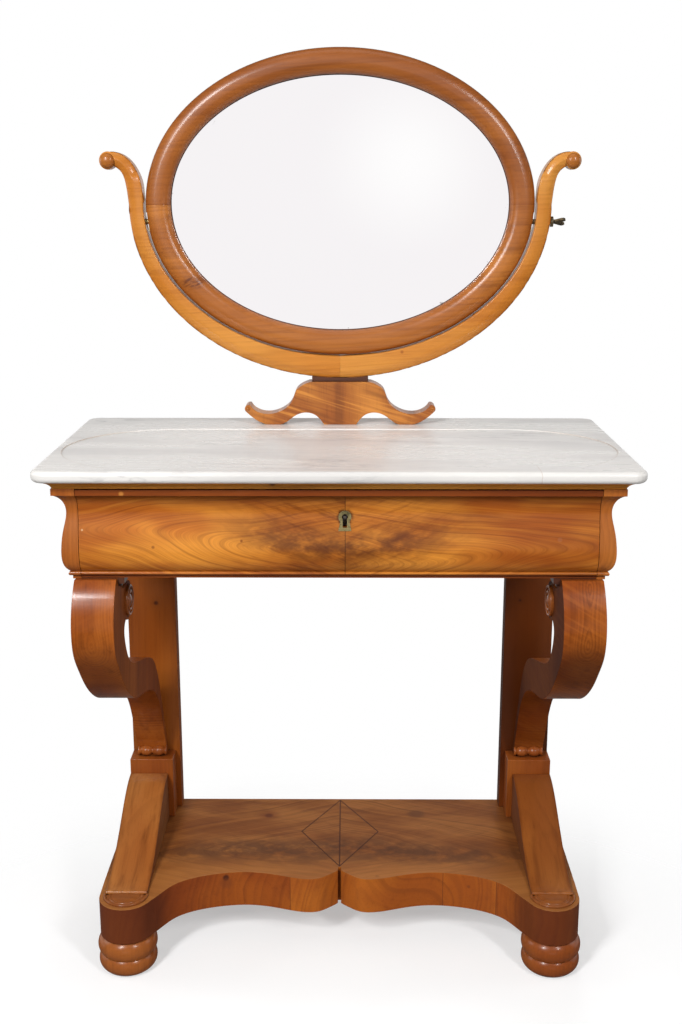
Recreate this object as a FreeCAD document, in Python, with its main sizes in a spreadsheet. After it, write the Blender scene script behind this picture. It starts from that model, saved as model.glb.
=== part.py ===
import FreeCAD, Part
import math
import os
import Sketcher

# Dressing table with mirror: a marble-topped console with one ogee drawer on scroll legs,
# and an oval mirror that swings in a crescent yoke. Origin: floor level, centre of the marble
# in plan. +Z is up, +X is to the right seen from the front, and the front faces -Y.

doc = FreeCAD.newDocument("dressing_table")
sheet = doc.addObject("Spreadsheet::Sheet", "Sizes")

# Driving sizes, in millimetres
driving = {
    "overrun": 5, "fit": 0.05, "air": 0.3, "drawer_gap": 0.8, "drawer_gap_high": 1.5,
    # Heights, one standing on the other
    "foot_height": 59, "platform_thick": 59, "leg_height": 523,
    "case_height": 134, "cornice_height": 12, "marble_thick": 17,
    # Marble slab and its sunken oval field
    "marble_width": 838, "marble_depth": 428, "marble_corner": 22, "marble_round": 7,
    "field_end_margin": 14, "field_front_margin": 11, "field_back_margin": 106, "field_sink": 1.2,
    # Carcase: ogee, cornice, rails and runners
    "marble_overhang": 24.5, "back_overhang": 21, "stile_width": 32.5, "stile_depth": 39.5,
    "ogee_depth": 20.5, "fillet_height": 9.5, "quirk_width": 1.2, "bead_radius": 3,
    "cornice_inset": 16, "cornice_lip": 2.5, "cornice_width": 67,
    "rail_thick": 18, "rail_width": 45, "back_board": 12, "runner_width": 32,
    "guide_width": 9.7, "guide_height": 31, "kicker_thick": 18,
    # Drawer
    "drawer_wall": 10, "drawer_side_height": 96, "bottom_thick": 6, "bottom_rise": 7,
    "groove_depth": 4, "drawer_rear_gap": 18,
    # Lock and escutcheon
    "lock_offset": 8.5, "lock_width": 60, "lock_height": 60, "lock_thick": 9,
    "bolt_width": 18, "bolt_thick": 4,
    "bolt_length": 26, "bolt_travel": 6.5, "pin_radius": 1.6, "pin_length": 14,
    "keyhole_radius": 4.2, "keyhole_slot": 6, "keyhole_drop": 14.5, "keyhole_below_top": 43,
    "plate_radius": 9, "plate_neck": 13, "plate_foot": 18, "plate_drop": 19,
    "plate_proud": 0.8, "plate_sunk": 1.4, "screw_radius": 1.5, "screw_head_radius": 3,
    "screw_head": 1.2, "screw_length": 10, "screw_inset": 7,
    # Rear posts, blocks, ramps and the corner pateras, all flush at the outer side
    "pillar_inset": 34.5, "post_width": 81, "post_depth": 28, "block_width": 73,
    "block_depth": 39, "block_height": 107.5, "ramp_width": 64, "ramp_length": 251,
    "ramp_height": 81.6, "roll_radius": 3.5, "patera_radius": 34, "patera_height": 4.4,
    # Platform
    "platform_margin": 9.5, "lobe_radius": 41, "scoop_depth": 121,
    "notch_width": 5, "notch_depth": 6, "string_width": 1.6, "string_thick": 1,
    "diamond_half": 65.5, "diamond_front_gap": 2, "diamond_back_gap": 3,
    # Turned feet
    "foot_base": 33, "foot_lower": 44.5, "foot_neck": 40.5, "foot_upper": 45.5, "foot_crown": 36,
    "foot_lower_height": 28, "spigot_radius": 9, "spigot_length": 22, "rear_foot_inset": 46,
    # Scroll legs, rosettes and spindles
    "leg_width": 60, "leg_foot_width": 49, "leg_splay": 14.5, "leg_foot_inset": 12,
    "leg_front_gap": 8, "leg_foot_thick": 22, "leg_foot_flat": 21, "volute_radius": 29,
    "rosette_radius": 23, "rosette_height": 6,
    "spindle_radius": 9, "spindle_length": 49, "spindle_ring": 3.5, "spindle_groove": 1.5,
    # Mirror stand and yoke
    "mirror_back_gap": 51, "stand_half": 153, "stand_height": 69, "stand_thick": 34,
    "neck_half": 45, "neck_depth": 24, "neck_height": 6.5,
    "yoke_gap": 1.8, "yoke_side_gap": 2.8, "yoke_side": 22.5, "yoke_belly": 34.5, "yoke_thick": 30,
    "arm_rise": 80, "arm_reach": 66, "bolt_radius": 3, "bolt_head_radius": 7, "bolt_head": 4,
    "bolt_bite": 38, "bolt_spacing": 28,
    # Mirror: frame of two half-round halves, glass and backboard
    "mirror_half_width": 303.5, "mirror_half_height": 233, "frame_width": 38.5,
    "frame_front": 15, "frame_edge": 3, "frame_back": 8, "rebate_width": 6.5, "glass_thick": 5,
    "glass_gap": 0.6, "board_thick": 6, "board_lap": 3, "back_screw_radius": 1.8,
    "back_screw_head": 3.6, "back_screw_length": 9,
    # Pivots
    "pivot_drop": 25.3, "pin_radius_pivot": 4, "pin_bite": 14, "pin_inner": 12,
    "plate_tall": 28, "plate_deep": 13, "plate_thick": 3,
    "collar_radius": 8, "collar_length": 4, "wing_reach": 19, "wing_half": 10, "wing_thick": 3.5,
}


class Size:
    """A length with the sheet expression that it comes from."""

    def __init__(self, value, text):
        self.value = float(value)
        self.text = text

    def __add__(self, other):
        return joined(self, "+", other)

    def __radd__(self, other):
        return joined(other, "+", self)

    def __sub__(self, other):
        return joined(self, "-", other)

    def __rsub__(self, other):
        return joined(other, "-", self)

    def __mul__(self, other):
        return joined(self, "*", other)

    def __rmul__(self, other):
        return joined(other, "*", self)

    def __truediv__(self, other):
        return joined(self, "/", other)

    def __neg__(self):
        return Size(-self.value, f"(-{self.text})")

    def __float__(self):
        return self.value


def as_size(number):
    return number if isinstance(number, Size) else Size(number, f"({float(number)})")


def joined(left, sign, right):
    a = as_size(left)
    b = as_size(right)
    results = {"+": a.value + b.value, "-": a.value - b.value, "*": a.value * b.value}
    value = a.value / b.value if sign == "/" else results[sign]
    return Size(value, f"({a.text} {sign} {b.text})")


def root(size):
    return Size(math.sqrt(size.value), f"sqrt({size.text})")


class Names:
    pass


s = Names()
for row, (name, value) in enumerate(driving.items(), start=1):
    sheet.set(f"A{row}", name)
    sheet.set(f"B{row}", str(value))
    sheet.setAlias(f"B{row}", name)
doc.recompute()
for name in driving:
    setattr(s, name, Size(sheet.get(name), f"Sizes.{name}"))

# Levels, from the floor up
zero = as_size(0)
tiny = 1e-6
platform_low = s.foot_height
platform_top = platform_low + s.platform_thick
block_top = platform_top + s.block_height
case_low = platform_top + s.leg_height
case_top = case_low + s.case_height
marble_low = case_top + s.cornice_height
table_top = marble_low + s.marble_thick

# Planes, from front to back and from the middle outwards
marble_half = s.marble_width / 2
front = -s.marble_depth / 2
back = s.marble_depth / 2
case_half = marble_half - s.marble_overhang
case_front = front + s.marble_overhang
case_rear = back - s.back_overhang
stile_rear = case_front + s.stile_depth
bay_half = case_half - s.stile_width
post_front = case_rear - s.post_depth
block_front = post_front - s.block_depth
ramp_front = block_front - s.ramp_length
pillar_outer = case_half - s.pillar_inset
platform_half = pillar_outer + s.platform_margin
corner_x = pillar_outer - s.ramp_width / 2
corner_y = ramp_front - s.roll_radius

parts = []


def vec(x, y, z):
    return FreeCAD.Vector(float(x), float(y), float(z))


def bind(thing, prop, size):
    """Sets a property from the sheet."""
    thing.setExpression(prop, as_size(size).text)


def place(thing, x, y, z):
    for axis, size in zip("xyz", (x, y, z)):
        bind(thing, f"Placement.Base.{axis}", size)


def keep(thing, label):
    """Names a finished sub-part."""
    thing.Label = label
    parts.append(thing)
    return thing


def box(label, x, y, z):
    """A board between two planes along each axis."""
    board = doc.addObject("Part::Box", label)
    bind(board, "Length", x[1] - x[0])
    bind(board, "Width", y[1] - y[0])
    bind(board, "Height", z[1] - z[0])
    place(board, x[0], y[0], z[0])
    return board


def rod(label, radius, length, at, axis="z"):
    """A round bar that starts at a point and runs along an axis."""
    bar = doc.addObject("Part::Cylinder", label)
    bind(bar, "Radius", radius)
    bind(bar, "Height", length)
    turns = {"x": (vec(0, 1, 0), 90), "y": (vec(1, 0, 0), -90), "z": (vec(0, 0, 1), 0)}
    bar.Placement.Rotation = FreeCAD.Rotation(*turns[axis])
    place(bar, *at)
    return bar


def cut(base, *tools):
    for tool in tools:
        trimmed = doc.addObject("Part::Cut", base.Name + "_cut")
        trimmed.Base = base
        trimmed.Tool = tool
        base = trimmed
    return base


def fuse(label, *pieces):
    joint = doc.addObject("Part::MultiFuse", label)
    joint.Shapes = list(pieces)
    return joint


def mirrored(source, label):
    """The left-hand twin of a right-hand piece."""
    twin = doc.addObject("Part::Mirroring", label)
    twin.Source = source
    twin.Normal = vec(1, 0, 0)
    return keep(twin, label)


def shaped(label, shape, at=None):
    """A piece whose curved shape is worked out from the sheet's values."""
    piece = doc.addObject("Part::Feature", label)
    piece.Shape = shape
    if at is not None:
        piece.Placement = FreeCAD.Placement(vec(*at), FreeCAD.Rotation()).multiply(shape.Placement)
    return piece


def both_sides(right_piece, stem):
    keep(right_piece, stem + "_right")
    mirrored(right_piece, stem + "_left")


class Outline:
    """A closed outline of lines, arcs and curves; plane maps its two coordinates to space."""

    def __init__(self, plane, start):
        self.plane = plane
        self.here = start
        self.first = start
        self.edges = []

    def point(self, pair):
        return self.plane(float(pair[0]), float(pair[1]))

    def line(self, *ends):
        for end in ends:
            if (self.point(end) - self.point(self.here)).Length > tiny:
                self.edges.append(Part.makeLine(self.point(self.here), self.point(end)))
            self.here = end
        return self

    def arc(self, middle, end):
        curve = Part.Arc(self.point(self.here), self.point(middle), self.point(end))
        self.edges.append(curve.toShape())
        self.here = end
        return self

    def curve(self, *through, leave=None, reach=None):
        spline = Part.BSplineCurve()
        points = [self.point(pair) for pair in (self.here,) + through]
        if leave and reach:
            origin = self.point((0, 0))
            ends = [self.point(leave) - origin, self.point(reach) - origin]
            spline.interpolate(points, InitialTangent=ends[0], FinalTangent=ends[1])
        else:
            spline.interpolate(points)
        self.edges.append(spline.toShape())
        self.here = through[-1]
        return self

    def face(self):
        self.line(self.first)
        return Part.Face(Part.Wire(self.edges))


def xz(a, b):
    return FreeCAD.Vector(a, 0, b)


def yz(a, b):
    return FreeCAD.Vector(0, a, b)


def xy(a, b):
    return FreeCAD.Vector(a, b, 0)


def extruded(face, start, end, axis):
    """Extrudes a face that lies in an origin plane between two planes along its normal."""
    shift = axis * float(start)
    return face.translated(shift).extrude(axis * (float(end) - float(start)))


X_AXIS = FreeCAD.Vector(1, 0, 0)
Y_AXIS = FreeCAD.Vector(0, 1, 0)
Z_AXIS = FreeCAD.Vector(0, 0, 1)
ORIGIN = FreeCAD.Vector(0, 0, 0)


def plain_box(x, y, z):
    """A box for trimming the curved shapes."""
    lengths = [float(span[1] - span[0]) for span in (x, y, z)]
    return Part.makeBox(*lengths, vec(x[0], y[0], z[0]))


def mirror_shape(shape):
    return shape.mirror(ORIGIN, X_AXIS)


# Sketches of lines and arcs, each corner held by named values


def profile(body, role, name, start, *steps):
    """Draws a closed outline; a step is an end point, or a middle and an end point for an arc."""
    sketch = body.newObject("Sketcher::SketchObject", name)
    plane = [f for f in body.Origin.OriginFeatures if f.Role == role][0]
    sketch.AttachmentSupport = [(plane, "")]
    sketch.MapMode = "FlatFace"
    add_loop(sketch, start, *steps)
    return sketch


def add_loop(sketch, start, *steps):
    first = sketch.GeometryCount
    here = start
    for number, step in enumerate(steps):
        is_arc = isinstance(step[0], tuple)
        end = step[1] if is_arc else step
        a = vec(here[0], here[1], 0)
        b = vec(end[0], end[1], 0)
        if is_arc:
            middle = vec(step[0][0], step[0][1], 0)
            arc = Part.Arc(a, middle, b)
            edge = sketch.addGeometry(arc, False)
            forward = (sketch.Geometry[edge].StartPoint - a).Length < tiny
        else:
            edge = sketch.addGeometry(Part.LineSegment(a, b), False)
            forward = True
        begin_vertex = 1 if forward else 2
        hold(sketch, edge, begin_vertex, here, f"{sketch.Name}_{first}_{number}")
        if is_arc:
            mark = sketch.addGeometry(Part.Point(middle), True)
            hold(sketch, mark, 1, step[0], f"{sketch.Name}_{first}_{number}_middle")
            sketch.addConstraint(Sketcher.Constraint("PointOnObject", mark, 1, edge))
        if number:
            joint = Sketcher.Constraint("Coincident", last[0], last[1], edge, begin_vertex)
            sketch.addConstraint(joint)
        else:
            opening = (edge, begin_vertex)
        last = (edge, 3 - begin_vertex)
        here = end
    sketch.addConstraint(Sketcher.Constraint("Coincident", last[0], last[1], *opening))


def hold(sketch, geometry, vertex, pair, name):
    for kind, size in zip(("DistanceX", "DistanceY"), pair):
        size = as_size(size)
        index = sketch.addConstraint(Sketcher.Constraint(kind, -1, 1, geometry, vertex, size.value))
        if size.text.find("Sizes") >= 0:
            label = f"{name}_{kind[-1].lower()}"
            sketch.renameConstraint(index, label)
            sketch.setExpression(f"Constraints.{label}", size.text)


def pad(body, sketch, length, symmetric=False, name="Pad"):
    feature = body.newObject("PartDesign::Pad", name)
    feature.Profile = sketch
    bind(feature, "Length", length)
    feature.Midplane = symmetric
    sketch.Visibility = False
    return feature


def pocket(body, sketch, length, name="Pocket"):
    feature = body.newObject("PartDesign::Pocket", name)
    feature.Profile = sketch
    bind(feature, "Length", length)
    return feature


# Turned feet: two fat rings under each corner, with a spigot that plugs into the platform
def foot(label, x, y):
    body = doc.addObject("PartDesign::Body", label)
    lower_middle = s.foot_lower_height / 2
    upper_middle = (s.foot_lower_height + s.foot_height) / 2
    crown = s.foot_height + s.spigot_length
    turned = profile(
        body, "XZ_Plane", label + "_turning", (zero, zero),
        (s.foot_base, zero),
        ((s.foot_lower, lower_middle), (s.foot_neck, s.foot_lower_height)),
        ((s.foot_upper, upper_middle), (s.foot_crown, s.foot_height)),
        (s.spigot_radius, s.foot_height), (s.spigot_radius, crown), (zero, crown), (zero, zero))
    spin = body.newObject("PartDesign::Revolution", label + "_spin")
    spin.Profile = turned
    spin.ReferenceAxis = (turned, ["V_Axis"])
    spin.Angle = 360
    place(body, x, y, zero)
    keep(body, label)


rear_foot_y = case_rear - s.rear_foot_inset
foot_places = {
    "foot_front_right": (corner_x, corner_y), "foot_front_left": (-corner_x, corner_y),
    "foot_rear_right": (corner_x, rear_foot_y), "foot_rear_left": (-corner_x, rear_foot_y),
}
for label, (x, y) in foot_places.items():
    foot(label, x, y)


# Platform with a serpentine front: a lobe at each corner, two swells and a cusp in the middle.
# Shares run from the middle to the lobe's centre, and from the lobe's front back to the cusp.
serpentine_shares = [
    (0.052, 0.860), (0.101, 0.769), (0.165, 0.752), (0.244, 0.802), (0.329, 0.876), (0.442, 0.925),
    (0.564, 0.893), (0.698, 0.777), (0.774, 0.645), (0.826, 0.463), (0.860, 0.306)]
lobe_entry_angle = 30
cusp_slope_shares = (0.6, -0.8)
lobe_slope_shares = (0.5, -0.866)
lobe_front = corner_y - s.lobe_radius
cusp_y = lobe_front + s.scoop_depth


def platform_shape():
    reach = corner_x
    around = math.radians(lobe_entry_angle)
    entry = (corner_x - s.lobe_radius * math.cos(around), corner_y - s.lobe_radius * math.sin(around))
    swells = [(reach * a, lobe_front + s.scoop_depth * b) for a, b in serpentine_shares]
    right = Outline(xy, (zero, cusp_y))
    right.curve(*swells, entry, leave=cusp_slope_shares, reach=lobe_slope_shares)
    right.arc((corner_x, lobe_front), (corner_x + s.lobe_radius, corner_y))
    right.line((platform_half, corner_y + s.lobe_radius), (platform_half, case_rear))
    right.line((zero, case_rear))
    half = extruded(right.face(), platform_low, platform_top, Z_AXIS)
    slab = half.fuse(mirror_shape(half)).removeSplitter()
    slot = plain_box((-s.notch_width / 2, s.notch_width / 2), (front, cusp_y + s.notch_depth),
                     (zero, platform_top + s.overrun))
    slab = slab.cut(slot)
    for x, y in foot_places.values():
        hole = vec(x, y, platform_low)
        slab = slab.cut(Part.makeCylinder(float(s.spigot_radius), float(s.spigot_length), hole))
    return slab


# Dark stringing let into the platform: a tall diamond with a line down its middle
diamond_front = cusp_y + s.notch_depth + s.diamond_front_gap
diamond_rear = case_rear - s.diamond_back_gap
diamond_middle = (diamond_front + diamond_rear) / 2
diamond_length_half = (diamond_rear - diamond_front) / 2
slant = root(s.diamond_half * s.diamond_half + diamond_length_half * diamond_length_half)
inner_share = 1 - s.string_width * slant / (s.diamond_half * diamond_length_half)


def stringing(label):
    body = doc.addObject("PartDesign::Body", label)
    web = profile(
        body, "XY_Plane", label + "_outline", (zero, diamond_front),
        (s.diamond_half, diamond_middle), (zero, diamond_rear), (-s.diamond_half, diamond_middle),
        (zero, diamond_front))
    line_half = s.string_width / 2
    inner_half = s.diamond_half * inner_share
    inner_length = diamond_length_half * inner_share * (1 - line_half / inner_half)
    for side in (1, -1):
        tip = (side * line_half, diamond_middle - inner_length)
        add_loop(web, tip, (side * inner_half, diamond_middle),
                 (side * line_half, diamond_middle + inner_length), tip)
    pad(body, web, s.string_thick, name=label + "_strip")
    place(body, zero, zero, platform_top - s.string_thick)
    return body


inlay = keep(stringing("platform_stringing"), "platform_stringing")
doc.recompute()
keep(shaped("base_platform", platform_shape().cut(inlay.Shape)), "base_platform")

# Rear posts, with a block against the foot of each
both_sides(box("rear_post_box", (pillar_outer - s.post_width, pillar_outer),
               (post_front, case_rear), (platform_top, case_low)), "rear_post")
both_sides(box("leg_block_box", (pillar_outer - s.block_width, pillar_outer),
               (block_front, post_front), (platform_top, block_top)), "leg_block")

# Ramps from the blocks down to the platform's corners; shares of length and height
ramp_shares = [(0.765, 0.852), (0.586, 0.600), (0.414, 0.362), (0.250, 0.175), (0.100, 0.075)]
ramp_nose_share = 0.055


def ramp_shape():
    rise = s.ramp_height
    slope = [(ramp_front + s.ramp_length * a, platform_top + rise * b) for a, b in ramp_shares]
    side = Outline(yz, (ramp_front, platform_top))
    side.line((block_front, platform_top), (block_front, platform_top + rise))
    side.curve(*slope, (ramp_front, platform_top + rise * ramp_nose_share))
    ramp = extruded(side.face(), pillar_outer - s.ramp_width, pillar_outer, X_AXIS)
    roll_start = vec(pillar_outer - s.ramp_width, ramp_front, platform_top + s.roll_radius)
    roll = Part.makeCylinder(float(s.roll_radius), float(s.ramp_width), roll_start, X_AXIS)
    return ramp.fuse(roll).removeSplitter()


both_sides(shaped("base_ramp_right", ramp_shape()), "base_ramp")


# Half-round pateras in front of the ramps: a rim, a hollow and a low dome, as shares of radius and rise
patera_shares = [
    (1, 0.3), (0.95, 0.85), (0.90, 0.4), (0.84, 0.25), (0.78, 0.55), (0.73, 0.62), (0.68, 0.45),
    (0.36, 0.86), (0, 1)]
dome_start_shares = (-0.8, 0.6)
dome_end_shares = (-1, 0)


def turned_rings(turning, knots):
    """Arcs through each pair of knots up to the last two, which carry the dome."""
    for middle, end in zip(knots[1:-2:2], knots[2:-2:2]):
        turning.arc(middle, end)


def patera_shape():
    knots = [(s.patera_radius * a, s.patera_height * b) for a, b in patera_shares]
    turning = Outline(xz, (zero, zero))
    turning.line((s.patera_radius, zero), knots[0])
    turned_rings(turning, knots)
    turning.curve(*knots[-2:], leave=dome_start_shares, reach=dome_end_shares)
    return turning.face().revolve(ORIGIN, Z_AXIS, 180).rotate(ORIGIN, Z_AXIS, 180)


both_sides(shaped("corner_patera_right", patera_shape(), (corner_x, corner_y, platform_top)),
           "corner_patera")

# Scroll legs. The side outline is given as shares: forward from the post's face, up from the block.
leg_reach = post_front - front - s.leg_front_gap
leg_rise = case_low - block_top
leg_front_shares = [
    (0.973, 0.929), (1.000, 0.831), (0.985, 0.750), (0.932, 0.680), (0.866, 0.610), (0.752, 0.523),
    (0.640, 0.470), (0.500, 0.437), (0.368, 0.403), (0.286, 0.368), (0.200, 0.300), (0.115, 0.165)]
leg_inner_shares = [
    (0.816, 0.790), (0.803, 0.728), (0.757, 0.665), (0.620, 0.603), (0.430, 0.555), (0.267, 0.487),
    (0.180, 0.385), (0.118, 0.262), (0.045, 0.110)]
leg_crown_share = 0.921
leg_neck_shares = (0.848, 0.965)
volute_start_angle = -125
volute_end_angle = 112
volute_forward_share = 0.733
volute_up_share = 0.875
leg_foot_outer = pillar_outer - s.leg_foot_inset
leg_foot_inner = leg_foot_outer - s.leg_foot_width
leg_scroll_inner = leg_foot_inner + s.leg_splay
leg_scroll_outer = leg_scroll_inner + s.leg_width
leg_toe = post_front - s.leg_foot_thick
volute_y = post_front - leg_reach * volute_forward_share
volute_z = block_top + leg_rise * volute_up_share


def leg_point(forward, up):
    return (post_front - leg_reach * forward, block_top + leg_rise * up)


def volute_point(angle):
    around = math.radians(angle)
    return (volute_y + s.volute_radius * math.cos(around), volute_z + s.volute_radius * math.sin(around))


def leg_shape():
    """The side outline, cut to a plank that is wider and further out at the scroll than at its foot."""
    side = Outline(yz, (leg_toe, block_top))
    side.line((post_front, block_top))
    hollow = [leg_point(*pair) for pair in reversed(leg_inner_shares)]
    swell = [leg_point(*pair) for pair in leg_front_shares]
    side.curve(*hollow, volute_point(volute_start_angle))
    side.arc(volute_point(0), volute_point(volute_end_angle))
    side.curve(leg_point(*leg_neck_shares), leg_point(leg_neck_shares[0], 1))
    side.line(leg_point(leg_crown_share, 1))
    side.curve(*swell, (leg_toe, block_top + s.leg_foot_flat))
    plan = Outline(xy, (leg_foot_inner, post_front))
    plan.line((leg_scroll_inner, post_front - leg_reach - s.overrun))
    plan.line((leg_scroll_outer, post_front - leg_reach - s.overrun), (leg_foot_outer, post_front))
    wide = extruded(side.face(), leg_foot_inner - s.overrun, leg_scroll_outer + s.overrun, X_AXIS)
    return wide.common(extruded(plan.face(), block_top, case_low, Z_AXIS))


# Rings and the domed eye of a rosette, as shares of its height and radius
rosette_shares = [
    (0.35, 1), (0.75, 0.93), (0.40, 0.83), (0.28, 0.76), (0.50, 0.68), (0.85, 0.58), (0.45, 0.48),
    (0.32, 0.43), (0.55, 0.38), (0.88, 0.2), (1, 0)]
eye_start_shares = (0.6, -0.8)
eye_end_shares = (0, -1)


def rosette_shape():
    """A turned rosette for each face of the scroll, square to that face."""
    knots = [(s.rosette_height * a, s.rosette_radius * b) for a, b in rosette_shares]
    turning = Outline(xy, (zero, zero))
    turning.line((zero, s.rosette_radius), knots[0])
    turned_rings(turning, knots)
    turning.curve(*knots[-2:], leave=eye_start_shares, reach=eye_end_shares)
    outer = turning.face().revolve(ORIGIN, X_AXIS, 360)
    inner = outer.mirror(ORIGIN, X_AXIS)
    span = leg_reach + s.overrun
    along = leg_reach * volute_forward_share / span
    turned = []
    for rosette, foot_x, scroll_x in ((outer, leg_foot_outer, leg_scroll_outer),
                                      (inner, leg_foot_inner, leg_scroll_inner)):
        lean = math.degrees(math.atan2(float(scroll_x - foot_x), float(span)))
        centre = vec(foot_x + (scroll_x - foot_x) * along, volute_y, volute_z)
        turned.append(rosette.rotated(ORIGIN, Z_AXIS, lean).translated(centre))
    return Part.makeCompound(turned)


both_sides(shaped("scroll_leg_right", leg_shape()), "scroll_leg")
both_sides(shaped("leg_rosettes_right", rosette_shape()), "leg_rosettes")


# Split spindle against the foot of each leg: ring, ball, ball, ring. Shares of its radius.
ring_edge_share = 0.7
ring_crown_share = 0.86
ball_edge_share = 0.62
ball_waist_share = 0.55


def spindle_shape():
    radius = s.spindle_radius
    half = s.spindle_length / 2
    middle = vec(leg_foot_outer - s.leg_foot_width / 2, leg_toe, block_top + radius)
    ring = s.spindle_ring
    waist = s.spindle_groove / 2
    ring_inner = half - ring
    ball_end = ring_inner - s.spindle_groove
    ball_middle = (ball_end + waist) / 2
    turning = Outline(xy, (-half, zero))
    turning.line((-half, radius * ring_edge_share))
    turning.arc((-half + ring / 2, radius * ring_crown_share), (-ring_inner, radius * ring_edge_share))
    turning.line((-ball_end, radius * ball_edge_share))
    turning.arc((-ball_middle, radius), (-waist, radius * ball_waist_share))
    turning.line((waist, radius * ball_waist_share))
    turning.arc((ball_middle, radius), (ball_end, radius * ball_edge_share))
    turning.line((ring_inner, radius * ring_edge_share))
    turning.arc((half - ring / 2, radius * ring_crown_share), (half, radius * ring_edge_share))
    turning.line((half, zero))
    return turning.face().revolve(ORIGIN, X_AXIS, 180).rotate(ORIGIN, X_AXIS, 90).translated(middle)


both_sides(shaped("leg_spindle_right", spindle_shape()), "leg_spindle")

# Ogee of the case: fillet, hollow, swell, quirk and bead. Shares of its depth and of the case height.
ogee_shares = [
    (0.15, 0.078), (0.64, 0.157), (0.79, 0.231), (0.60, 0.450), (0.43, 0.640), (0.42, 0.745),
    (0.56, 0.845)]
ogee_foot_share = 0.85
quirk_share = 0.905
bead_seat_share = 0.9


def ogee_face(plane, depth):
    """The ogee's section: inset from the fillet and height, closed at a depth behind the fillet."""
    deep = s.ogee_depth
    bead_top = case_low + s.case_height * (1 - quirk_share) - s.quirk_width
    section = Outline(plane, (depth, case_top))
    section.line((zero, case_top), (zero, case_top - s.fillet_height))
    knots = [(deep * a, case_top - s.case_height * b) for a, b in ogee_shares]
    section.line(knots[0])
    section.curve(*knots[1:], (deep * ogee_foot_share, bead_top + s.quirk_width))
    seat = deep * bead_seat_share
    bead_low = bead_top - s.bead_radius * 2
    section.line((seat, bead_top))
    section.arc((seat - s.bead_radius, bead_top - s.bead_radius), (seat, bead_low))
    section.line((deep, bead_low), (deep, case_low), (depth, case_low))
    return section.face()


def front_plane(inset, height):
    return FreeCAD.Vector(0, float(case_front) + inset, height)


def side_plane(inset, height):
    return FreeCAD.Vector(float(case_half) - inset, 0, height)


front_ogee = extruded(ogee_face(front_plane, s.stile_depth), bay_half, case_half, X_AXIS)
corner_ogee = extruded(ogee_face(side_plane, s.stile_width), case_front, stile_rear, Y_AXIS)
both_sides(shaped("case_stile_right", front_ogee.common(corner_ogee)), "case_stile")
side_ogee = extruded(ogee_face(side_plane, s.stile_width), stile_rear, case_rear, Y_AXIS)
both_sides(shaped("case_side_right", side_ogee), "case_side")

# Rails, back board, runners with their guides, and kickers over the drawer sides
rail_top = case_low + s.rail_thick
front_rail_rear = stile_rear + s.rail_width
rear_rail_front = case_rear - s.rail_width
board_front = case_rear - s.back_board
inside = (-bay_half, bay_half)
keep(box("front_rail", inside, (stile_rear, front_rail_rear), (case_low, rail_top)), "front_rail")
keep(box("rear_rail", inside, (rear_rail_front, case_rear), (case_low, rail_top)), "rear_rail")
keep(box("case_back", inside, (board_front, case_rear), (rail_top, marble_low)), "case_back")
runner = fuse(
    "drawer_runner_joint",
    box("runner_bearer", (bay_half - s.runner_width, bay_half), (front_rail_rear, rear_rail_front),
        (case_low, rail_top)),
    box("runner_guide", (bay_half - s.guide_width, bay_half), (front_rail_rear, rear_rail_front),
        (rail_top, rail_top + s.guide_height)))
both_sides(runner, "drawer_runner")
both_sides(box("kicker_box", (bay_half - s.runner_width, bay_half), (stile_rear, board_front),
               (case_top - s.kicker_thick, case_top)), "drawer_kicker")


# Cornice under the marble: lip, hollow slope and a narrow foot, mitred by its own returns
cornice_hollow_share = 0.48


def cornice_face(plane, depth):
    inset = s.cornice_inset
    low = s.marble_overhang + s.cornice_lip / 2
    section = Outline(plane, (depth, marble_low))
    section.line((inset, marble_low), (inset + s.cornice_lip / 4, marble_low - s.cornice_lip))
    hollow = marble_low - s.cornice_height * cornice_hollow_share
    section.arc(((inset + low + s.cornice_lip) / 2, hollow), (low, case_top + s.cornice_lip / 2))
    section.line((low, case_top), (depth, case_top))
    return section.face()


def cornice_front_plane(inset, height):
    return FreeCAD.Vector(0, float(front) + inset, height)


def cornice_side_plane(inset, height):
    return FreeCAD.Vector(float(marble_half) - inset, 0, height)


cornice_rear = front + s.cornice_width
run = extruded(cornice_face(cornice_front_plane, s.cornice_width), -marble_half, marble_half, X_AXIS)
across = extruded(cornice_face(cornice_side_plane, s.marble_width), front, cornice_rear, Y_AXIS)
cornice_front_shape = run.common(across).common(mirror_shape(across))
side_cornice_face = cornice_face(cornice_side_plane, marble_half - bay_half)
side_cornice = extruded(side_cornice_face, cornice_rear, case_rear, Y_AXIS)
both_sides(shaped("cornice_side_right", side_cornice), "cornice_side")


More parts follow.
